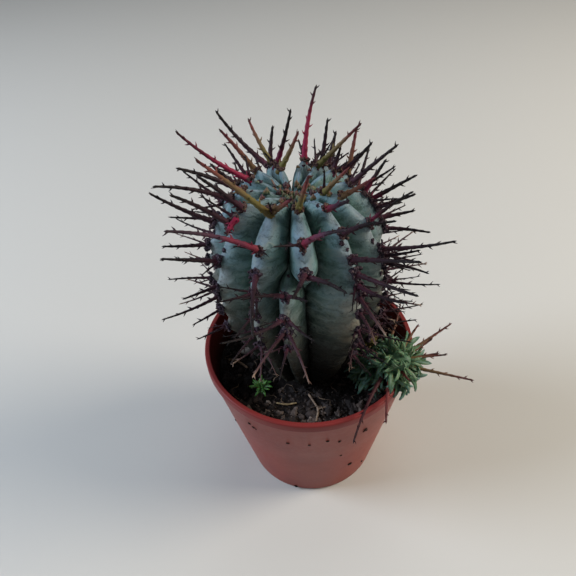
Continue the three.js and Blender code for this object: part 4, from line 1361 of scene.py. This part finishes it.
def add_stalk(bm, bracts):
    """A straight stalk along Z, from just inside the skin to its tip."""
    length = bracts * BRACT_SPACING
    heights, radii = [-1.6, 0], [STALK_ROOT * 1.2, STALK_ROOT * 1.26]
    for bract in range(bracts):
        for part, swell in ((0.25, 0.94), (0.62, 1.16)):
            k = (bract + part) / bracts
            heights.append(length * k)
            radii.append(stalk_radius(k) * swell)
    heights.append(length)
    radii.append(STALK_POINT)
    add_tube(bm, [UP * h for h in heights], radii, STALK_SIDES)
    for bract in range(bracts):
        k = (bract + 0.6) / bracts
        around = bract * BRACT_TURN
        out = Vector((math.cos(around), math.sin(around), 0))
        root = UP * (length * k) + out * stalk_radius(k) * 0.5
        reach = mix(1.15, 0.75, k)
        bend = root + (out * 0.75 + UP * 0.35) * reach
        tip = root + (out * 1.5 + UP * 1.2) * reach
        add_tube(bm, [root, bend, tip], [0.5 * reach, 0.32 * reach, 0.05], BRACT_SIDES)


stalk_templates = {n: template(lambda bm: add_stalk(bm, n)) for n in BRACT_COUNTS}
print("stalks with", min(BRACT_COUNTS), "to", max(BRACT_COUNTS), "bracts")

# %% Stalk finishes
# Each finish is a list of (place from root to tip, colour).
STALK_TONES = {
    "crimson": [(0, "#6d2a34"), (0.1, "#8c2444"), (0.6, "#82203e"), (0.75, "#4c1729"), (0.88, "#1f1014")],
    "scorched": [(0, "#6f2640"), (0.25, "#631d38"), (0.42, "#2c121b"), (0.6, "#151011"), (1, "#100d0d")],
    "dark": [(0, "#5a3142"), (0.12, "#432531"), (0.4, "#2b1a22"), (0.75, "#181014"), (1, "#110d0f")],
    "olive": [(0, "#65582f"), (0.2, "#6b6638"), (0.5, "#705b42"), (0.78, "#743c3b"), (1, "#32171a")],
    "brown": [(0, "#5e4c30"), (0.3, "#6a4d37"), (0.6, "#6f4238"), (0.85, "#632932"), (1, "#2c1517")],
    "rosy": [(0, "#7d3b3c"), (0.18, "#762a3d"), (0.4, "#563244"), (0.65, "#3b2a37"), (1, "#1f171b")],
    "faded": [(0, "#432530"), (0.35, "#3b232b"), (0.62, "#442e34"), (0.87, "#59433f"), (1, "#97816f")],
}


def woody_stalk(stops):
    """A finish in the given run of colours, from root to tip."""
    def build(tree, place):
        """Dried flower stalk: woody, a little waxy when young, streaked and specked when old."""
        reach = add(tree, "Attribute", attribute_name="reach").outputs["Fac"]
        speck = add(tree, "TexNoise", {"Vector": place, "Scale": 1 / (0.6 * MM), "Detail": 4,
                                       "Roughness": 0.7}).outputs[0]
        drift = add(tree, "TexNoise", {"Vector": place, "Scale": 1 / (9 * MM), "Detail": 1}).outputs[0]
        shift = add(tree, "MapRange", {"Value": drift, "From Min": 0.3, "From Max": 0.7,
                                       "To Min": -0.14, "To Max": 0.14}).outputs[0]
        shifted = add(tree, "Math", {0: reach, 1: shift}, operation="ADD").outputs[0]
        run = add(tree, "ValToRGB", {"Fac": shifted}, stops=stops).outputs[0]
        pale = add(tree, "MapRange", {"Value": speck, "From Min": 0.6, "From Max": 0.72,
                                      "To Max": 0.5}).outputs[0]
        colour = add(tree, "Mix", {0: pale, 6: run, 7: linear("#93847e")}, data_type="RGBA").outputs[2]
        normal = add(tree, "Bump", {"Height": speck, "Strength": 0.6, "Distance": 0.15 * MM}).outputs[0]
        return {"Base Color": colour, "Roughness": 0.58, "Specular IOR Level": 0.2, "Normal": normal}

    return build

# %% Stamp the stalks
STALK_BEND = 0.0035
LIFTED = 0.2


def stamp_stalk(bm, layer, root, heading, length, thickness, number):
    """One stalk from its root. Its number settles how it is turned and bent."""
    bracts = min(max(round(length / BRACT_SPACING), min(BRACT_COUNTS)), max(BRACT_COUNTS))
    stretch = length / (bracts * BRACT_SPACING)
    turn = heading.to_track_quat("Z", "Y") @ Matrix.Rotation(number * 1.9, 3, "Z").to_quaternion()
    draw = Random(number)
    bend = (draw.random() - 0.5) * STALK_BEND * length
    sway = (draw.random() - 0.5) * STALK_BEND * length

    def place(co):
        z = max(co.z, 0) * stretch
        curve = (z / length) * (1 - z / length) * length * 4
        wide = mix(thickness, max(thickness, 0.85), smooth(math.hypot(co.x, co.y), 0.8, 1.6))
        local = Vector((co.x * wide + bend * curve, co.y * wide + sway * curve, co.z * stretch))
        return root + turn @ local

    stamp(bm, stalk_templates[bracts], place, layer,
          lambda co: min(max(co.z / (bracts * BRACT_SPACING), 0), 1))


for tone, stops in STALK_TONES.items():
    finish = make_finish(f"woody_stalk_{tone}", woody_stalk(stops))
    bm, reach_layer = painted_mesh("reach")
    for number, stalk in enumerate(stalks):
        if stalk["tone"] == tone:
            heading = stalk["heading"]
            stamp_stalk(bm, reach_layer, stalk["root"] + heading * LIFTED, heading,
                        stalk["length"] - LIFTED, stalk["thickness"], number)
    finish_piece(bm, f"stalks_{tone}", finish, "main_stem")

# %% [markdown]
# ## The offset
#
# The offset is a small branch of the same plant that leans out over the rim. Young growth still
# has its leaves: narrow, thick, channelled and curled back, blue-green low down and bright green at
# the growing tip. Its body is a ribbed skin round a bent axis. Its first leaves stand in the spiral
# that most plants use, 137.5 degrees from one to the next, and the loose ones follow a table.

# %% Offset body
OFFSET_RADII = [3.1, 3.1, 4.4, 5.1, 6.2]
OFFSET_RIBS = 9
OFFSET_RIB_DEPTH = 0.12
TIP_TINT = 0.4


def offset_radius(along):
    """The radius of the body before its ribs are cut, rounded off at its tip."""
    place = min(along, 0.9999) * (len(OFFSET_RADII) - 1)
    i = int(place)
    plain = mix(OFFSET_RADII[i], OFFSET_RADII[i + 1], place - i)
    return plain * math.sqrt(max(1 - smooth(along, 0.8, 1.02) ** 1.3, 0))


def offset_frame(along):
    """The middle of the offset at a place along it, its axis and two directions across it."""
    axis = (offset_curve(min(along + 0.001, 1)) - offset_curve(max(along - 0.001, 0))).normalized()
    across = Vector((0, 1, 0)).cross(axis).normalized()
    return offset_curve(along), axis, across, axis.cross(across).normalized()


def offset_point(turn, along):
    """The point of the ribbed body at an angle round its axis."""
    centre, _, across, over = offset_frame(along)
    hollow = OFFSET_RIB_DEPTH * smooth(along, 0.25, 0.45) * math.sin(OFFSET_RIBS * turn / 2) ** 2
    radius = offset_radius(along) * (1 - hollow)
    return centre + (across * math.cos(turn) + over * math.sin(turn)) * radius


def offset_skin(u, v):
    """A point of the body's skin, and how near the growing tip it is."""
    if v > 1 - POLE_ROW:
        end, axis, _, _ = offset_frame(1)
        return end + axis * 0.3, TIP_TINT
    if v < POLE_ROW:
        return offset_curve(0), 0
    return offset_point(2 * math.pi * u, v), TIP_TINT * smooth(v, 0.6, 0.95)

# %% Dress the offset
def young_skin(tree, place):
    """Young succulent leaf: deep green with a pale, waxy margin, brighter at the growing tip."""
    tip = add(tree, "Attribute", attribute_name="tip").outputs["Fac"]
    cloud = add(tree, "TexNoise", {"Vector": place, "Scale": 1 / (3.5 * MM), "Detail": 4}).outputs[0]
    fine = add(tree, "TexNoise", {"Vector": place, "Scale": 1 / (0.7 * MM), "Detail": 3}).outputs[0]
    old = add(tree, "ValToRGB", {"Fac": cloud},
              stops=[(0.3, "#34544b"), (0.5, "#4e7267"), (0.7, "#74978c")]).outputs[0]
    new = add(tree, "ValToRGB", {"Fac": cloud},
              stops=[(0.3, "#2a4f22"), (0.5, "#426c38"), (0.7, "#6d8d5c")]).outputs[0]
    young = add(tree, "MapRange", {"Value": tip, "From Max": 0.7}).outputs[0]
    blade = add(tree, "Mix", {0: young, 6: old, 7: new}, data_type="RGBA").outputs[2]
    margin = add(tree, "MapRange", {"Value": tip, "From Min": 0.5, "From Max": 1.2,
                                    "To Max": 0.5}).outputs[0]
    colour = add(tree, "Mix", {0: margin, 6: blade, 7: linear("#8fa796")}, data_type="RGBA").outputs[2]
    normal = add(tree, "Bump", {"Height": fine, "Strength": 0.3, "Distance": 0.08 * MM}).outputs[0]
    return {"Base Color": colour, "Roughness": 0.5, "IOR": 1.45, "Normal": normal,
            "Subsurface Weight": 0.12, "Subsurface Scale": 1.2 * MM}


young_finish = make_finish("young_waxy_leaf", young_skin)
bm = skin(OFFSET_RIBS * 8, 60, offset_skin, ("tip",))
finish_piece(bm, "offset_body", young_finish, "offset_stem")

# %% Leaves of the offset in their spiral
OFFSET_LEAVES = 36
SPIRAL = 137.5
bm, tip_layer = painted_mesh("tip")
draw = number_stream(913)
extra = Random(19)
for i in range(OFFSET_LEAVES):
    along = mix(0.52, 0.97, math.sqrt((i + 0.5) / OFFSET_LEAVES))
    turn = math.radians(SPIRAL) * i
    centre, axis, _, _ = offset_frame(along)
    foot = offset_point(turn, along)
    outward = (foot - centre).normalized()
    heading = (outward + axis * mix(0.25, 1.3, smooth(along, 0.6, 1))).normalized()
    length = mix(4.2, 6, draw())
    tip = foot + heading * length
    over_rim = math.hypot(tip.x, tip.y) > INNER_LIP - 2.2
    if over_rim and min(foot.z, tip.z) < POT["height"] + 2.4:
        continue
    if (tip - bud_middle).length < BUD["radius"] + 5:
        continue
    new = smooth(along, 0.72, 0.95)
    face = axis + any_way(extra) * 1.2
    curl = mix(1.4, 0.8, new) + 0.7 * extra.random()
    sway = 0.3 * (extra.random() - 0.5)
    stamp_leaf(bm, tip_layer, foot, heading, face, length * 1.1, curl, new, sway)
print("spiral of", OFFSET_LEAVES, "places,", len(bm.faces) // len(leaf_template.polygons), "leaves in it")

# %% Loose leaves that hang, and the heart of the rosette
# Each row is [how many, foot from and to along the axis, from and to round it in degrees, lean
# towards the axis, length, curl]. The first row fills the side that faces the rim.
ALL_ROUND = (-180, 180)
LOOSE_LEAVES = [
    (60, (0.42, 0.86), (-205, -75), (-0.4, 0.9), (6.5, 10.5), (0.3, 1.7)),
    (56, (0.36, 0.62), ALL_ROUND, (-0.5, 0.3), (5, 8.5), (0.4, 2)),
    (70, (0.56, 0.9), ALL_ROUND, (-0.6, 0.6), (5, 9), (0.6, 2.8)),
    (110, (0.6, 0.88), ALL_ROUND, (0.7, 1.5), (7, 10.5), (0.9, 1.9)),
    (22, (0.8, 0.97), ALL_ROUND, (0, 0.9), (4.5, 7.5), (0.6, 2.4)),
    (44, (0.88, 1), ALL_ROUND, (0.5, 2), (2.6, 4.6), (0.3, 1.8)),
]


def leaf_hangs_free(foot, heading, length):
    """Whether a hanging leaf is clear of the rim, the mix, the wall and the bud."""
    reach = [foot + heading * length * k - UP * length * 0.45 * k * k for k in (0.4, 0.7, 1)]
    far = [math.hypot(point.x, point.y) for point in reach]
    on_rim = any(INNER_LIP - 1.2 < out < POT["rim_radius"] + 0.8 and point.z < POT["height"] + 0.8
                 for out, point in zip(far, reach))
    in_mix = any(out < POT["rim_radius"] and point.z < SOIL_TOP + 2 for out, point in zip(far, reach))
    in_pot_wall = far[2] > POT["rim_radius"] and far[0] < INNER_LIP and reach[2].z < POT["height"]
    near_bud = (reach[2] - bud_middle).length < BUD["radius"] + 3
    return not (on_rim or in_mix or in_pot_wall or near_bud)


hanging = 0
for count, feet, sides, leans, lengths, curls in LOOSE_LEAVES:
    for i in range(count):
        along = mix(*feet, extra.random())
        turn = math.radians(mix(*sides, 0.382 * i % 1)) + 0.5 * extra.random()
        centre, axis, _, _ = offset_frame(along)
        foot = offset_point(turn, along)
        lean = mix(*leans, smooth(along, *feet))
        heading = ((foot - centre).normalized() + axis * lean).normalized()
        length = mix(*lengths, extra.random())
        curl = mix(*curls, extra.random())
        sway = 0.45 * (extra.random() - 0.5)
        hangs_out = leans[0] < 0.7 or math.hypot(*(foot + heading * length).xy) > POT["rim_radius"] + 1
        if hangs_out and leaf_hangs_free(foot, heading, length):
            hanging += 1
            face = UP.lerp(axis, smooth(along, 0.75, 0.95)) + any_way(extra) * 2
            tip = smooth(along, 0.8, 0.97)
            stamp_leaf(bm, tip_layer, foot, heading, face, length, curl, tip, sway)
print(hanging, "loose leaves")
finish_piece(bm, "offset_leaves", young_finish, "offset_stem")

# %% Stalks of the offset and the bud
YOUNG_TONES = {
    "tawny": [(0, "#64682f"), (0.25, "#6c6238"), (0.6, "#745542"), (0.85, "#6b3f3b"), (1, "#402523")],
    "russet": [(0, "#7d8250"), (0.3, "#864e42"), (0.7, "#773735"), (1, "#4c2525")],
    "plum": [(0, "#60503f"), (0.3, "#422024"), (0.7, "#36151a"), (1, "#261114")],
}
OFFSET_STALK_TONES = ["tawny"] * 7 + ["russet", "plum", "russet"]
YOUNG_THICKNESS = 0.86
# Their numbers start here, so that they aren't turned and bent like the column's first stalks.
FIRST_YOUNG = 40
bud_heart = Vector((*BUD["foot"], SOIL_TOP + BUD["height"] * 0.6))
young_stalks = [("offset", a, b, tone) for (a, b), tone in zip(offset_lines, OFFSET_STALK_TONES)]
young_stalks += [("bud", bud_heart, Vector(tip), "russet" if i == 0 else "tawny")
                 for i, tip in enumerate(BUD_TIPS)]

for tone, stops in YOUNG_TONES.items():
    finish = make_finish(f"young_stalk_{tone}", woody_stalk(stops))
    for plant, slot, node in (("offset", "offset_skin", "offset_stem"), ("bud", "bud_skin", "bud")):
        chosen = [(a, b) for owner, a, b, named in young_stalks if owner == plant and named == tone]
        if not chosen:
            continue
        bm, reach_layer = painted_mesh("reach")
        for number, (root, tip) in enumerate(chosen, FIRST_YOUNG):
            way = tip - root
            stamp_stalk(bm, reach_layer, root, way.normalized(), way.length, YOUNG_THICKNESS, number)
        finish_piece(bm, f"{plant}_stalks_{tone}", finish, node)

# %% [markdown]
# ## The bud and the seedling
#
# The bud is an offset that has only just broken the surface: a knobbly olive head on a short neck.
# The seedling is a rosette: seven narrow leaves spread out, with a heart of smaller ones above
# them. Both are spun bodies with stamps on them.

# %% Finish of the bud
def olive_bud(tree, place):
    """Young bud: olive skin, flushed reddish brown in patches."""
    cloud = add(tree, "TexNoise", {"Vector": place, "Scale": 1 / (2.4 * MM), "Detail": 4}).outputs[0]
    colour = add(tree, "ValToRGB", {"Fac": cloud},
                 stops=[(0.32, "#3c3a22"), (0.5, "#626036"), (0.62, "#7d6a3c"),
                        (0.75, "#7c4738")]).outputs[0]
    normal = add(tree, "Bump", {"Height": cloud, "Strength": 0.4, "Distance": 0.2 * MM}).outputs[0]
    return {"Base Color": colour, "Roughness": 0.6, "Normal": normal}

# %% Bud
# The head's outline, in parts of its radius and height.
BUD_HEAD = [(0.7, 0.2), (0.86, 0.4), (1, 0.65), (0.78, 0.93), (0.34, 1.08), (0, 1.1)]
BUD_KNOBS = 26
BUD_STEPS = 24
bud_foot = SOIL_TOP - 8
bud_head = [(BUD["radius"] * r, SOIL_TOP + BUD["height"] * h) for r, h in BUD_HEAD]
bud_curve = curve_through([(BUD["foot_radius"], SOIL_TOP + 0.6), *bud_head])
bud_outline = [(0, bud_foot), (BUD["foot_radius"], bud_foot),
               *[tuple(bud_curve(i / BUD_STEPS))[:2] for i in range(BUD_STEPS)],
               (0, SOIL_TOP + BUD["height"] * 1.1)]
bm = bmesh.new()
bm.from_mesh(template(lambda new: spin_outline(new, bud_outline, 36, BUD["foot"])))
for number in range(BUD_KNOBS):
    k = (number + 0.5) / BUD_KNOBS
    around = SPIRAL * number
    radius, height, _ = bud_curve(0.3 + 0.66 * k)
    spot = Vector((*BUD["foot"], height)) + direction(around, 0) * radius
    turn = facing(direction(around, mix(-20, 80, k)))
    stamp(bm, round_ball, lambda co: spot + turn @ Vector((co.x * 0.7, co.y * 0.7, co.z * 0.75)))
finish_piece(bm, "bud_head", make_finish("olive_bud_skin", olive_bud), "bud")

# %% Seedling
SPROUT_LEAVES = 7
HEART_LEAVES = 34
# The short stem's outline, each (radius, height above the mix).
SPROUT_STEM = [(0, -7), (1.3, -7), (1.3, 0.4), (1.2, 1.5), (0.7, 2.3), (0, 2.6)]
sprout_outline = [(radius, SOIL_TOP + height) for radius, height in SPROUT_STEM]
bm, tip_layer = painted_mesh("tip")
bm.from_mesh(template(lambda new: spin_outline(new, sprout_outline, 20, SPROUT_FOOT)))
for vert in bm.verts:
    vert[tip_layer] = 0.8
sprout_heart = Vector((*SPROUT_FOOT, SOIL_TOP + 1.56))
draw = Random(7)
for i in range(SPROUT_LEAVES):
    heading = direction(360 * i / SPROUT_LEAVES + 17, 38 if i % 2 else 22)
    stamp_leaf(bm, tip_layer, sprout_heart, heading, UP, 5.2, 0.6, 1, 0.2 * (draw.random() - 0.5))
for i in range(HEART_LEAVES):
    k = i / HEART_LEAVES
    heading = direction(SPIRAL * i, mix(30, 88, k) + 14 * (draw.random() - 0.5))
    length = mix(4.6, 2.6, k) * mix(0.8, 1.1, draw.random())
    curl = 0.3 + 0.5 * draw.random()
    sway = 0.25 * (draw.random() - 0.5)
    stamp_leaf(bm, tip_layer, sprout_heart, heading, UP, length, curl, mix(1, 0.4, k), sway)


def fresh_leaf(tree, place):
    """Seedling leaf: fresh yellow-green, paler towards the ends."""
    tip = add(tree, "Attribute", attribute_name="tip").outputs["Fac"]
    cloud = add(tree, "TexNoise", {"Vector": place, "Scale": 1 / (2 * MM), "Detail": 3}).outputs[0]
    mixed = add(tree, "Math", {0: tip, 1: cloud}, operation="MULTIPLY").outputs[0]
    colour = add(tree, "ValToRGB", {"Fac": mixed},
                 stops=[(0.05, "#6e9a3e"), (0.2, "#4c8837"), (0.5, "#6a8f5b")]).outputs[0]
    return {"Base Color": colour, "Roughness": 0.5, "Subsurface Weight": 0.12,
            "Subsurface Scale": 1.2 * MM}


seedling_finish = make_finish("fresh_seedling_leaf", fresh_leaf)
finish_piece(bm, "seedling", seedling_finish, "sprout")

# %% [markdown]
# ## Litter
#
# A dead forked root, a twig, a straw and a grey pebble lie on the mix. The first three are tubes
# along the same routes as in the CAD, with uneven thickness; the pebble is a worn ball.

# %% Litter
LITTER_LIFT = 0.35
LITTER_SIDES = 9
# Each piece: its routes, the radius of each, and its material slot.
LITTER = {
    "forked_root": ([[(-1.4, -18.4), (0.4, -22.8), (1.7, -26.7), (0.5, -32)],
                     [(1.6, -26.2), (4.4, -25.6), (7.4, -24.6)]], [0.5, 0.42], "dry_root"),
    "dry_twig": ([[(-34.2, 1.7), (-30.3, 0.3), (-26, -3.4)]], [0.6], "dry_twig"),
    "dry_straw": ([[(-14.6, -21.2), (-10.6, -22.4), (-6.4, -22.2)]], [0.42], "dry_straw"),
}
LITTER_COLOURS = {
    "forked_root": [(0.3, "#5d4d40"), (0.55, "#8f7c69"), (0.8, "#b3a28c")],
    "dry_twig": [(0.3, "#3c2f25"), (0.55, "#6e5a46"), (0.8, "#94806a")],
    "dry_straw": [(0.3, "#6d5c40"), (0.55, "#9f8c66"), (0.8, "#bfae8a")],
}


def weathered(stops):
    """A finish in the given colours, from the dirt in the cracks to the bleached parts."""
    def build(tree, place):
        """Dead plant fibre or worn stone: weathered, streaked, with dirt in it."""
        streak = add(tree, "TexNoise", {"Vector": place, "Scale": 1 / (1.2 * MM), "Detail": 5}).outputs[0]
        colour = add(tree, "ValToRGB", {"Fac": streak}, stops=stops).outputs[0]
        normal = add(tree, "Bump", {"Height": streak, "Strength": 0.7, "Distance": 0.12 * MM}).outputs[0]
        return {"Base Color": colour, "Roughness": 0.85, "Normal": normal}

    return build


for node, (routes, radii, slot) in LITTER.items():
    bm = bmesh.new()
    for route, radius in zip(routes, radii):
        rests = [(x, y, soil_height(x, y) + radius + LITTER_LIFT) for x, y in route]
        along = curve_through(rests)
        steps = 8 * len(route)
        path = [along(i / steps) for i in range(steps + 1)]
        thick = [radius * (0.85 + 0.3 * noise.noise(p / 1.7)) * (0.55 if i in (0, steps) else 1)
                 for i, p in enumerate(path)]
        add_tube(bm, path, thick, LITTER_SIDES)
    finish = make_finish(f"weathered_{node}", weathered(LITTER_COLOURS[node]))
    finish_piece(bm, f"litter_{node}", finish, node)

# %% Pebble
PEBBLE_PLACE = (-27.2, 5.6)
PEBBLE_RADIUS = 2
PEBBLE_FLATNESS = 0.7
PEBBLE_COLOURS = [(0.3, "#56524d"), (0.5, "#7d7973"), (0.7, "#a09c95")]
pebble_height = soil_height(*PEBBLE_PLACE) + PEBBLE_FLATNESS * PEBBLE_RADIUS + LITTER_LIFT
pebble_middle = Vector((*PEBBLE_PLACE, pebble_height))
bm = bmesh.new()


def worn(co):
    """A point of the ball, rubbed uneven and flat."""
    lump = uneven(co, 1.1, 3, 0.25) * PEBBLE_RADIUS
    return pebble_middle + Vector((lump.x * 1.2, lump.y * 0.95, lump.z * PEBBLE_FLATNESS))


stamp(bm, ball(4), worn)
pebble_finish = make_finish("weathered_pebble", weathered(PEBBLE_COLOURS))
finish_piece(bm, "pebble", pebble_finish, "grey_pebble")

# %% [markdown]
# ## Check the size
#
# The dressed model should stay the size of the CAD. For each axis the script prints how far the
# dressed model reaches past the CAD's box, in millimetres.

# %% Print how far the model grows
visual_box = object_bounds()
for axis, (low, high, new_low, new_high) in enumerate(zip(*cad_box, *visual_box)):
    below, above = (low - new_low) / MM, (new_high - high) / MM
    print("xyz"[axis], "grows by", round(below, 2), "and", round(above, 2), "mm")
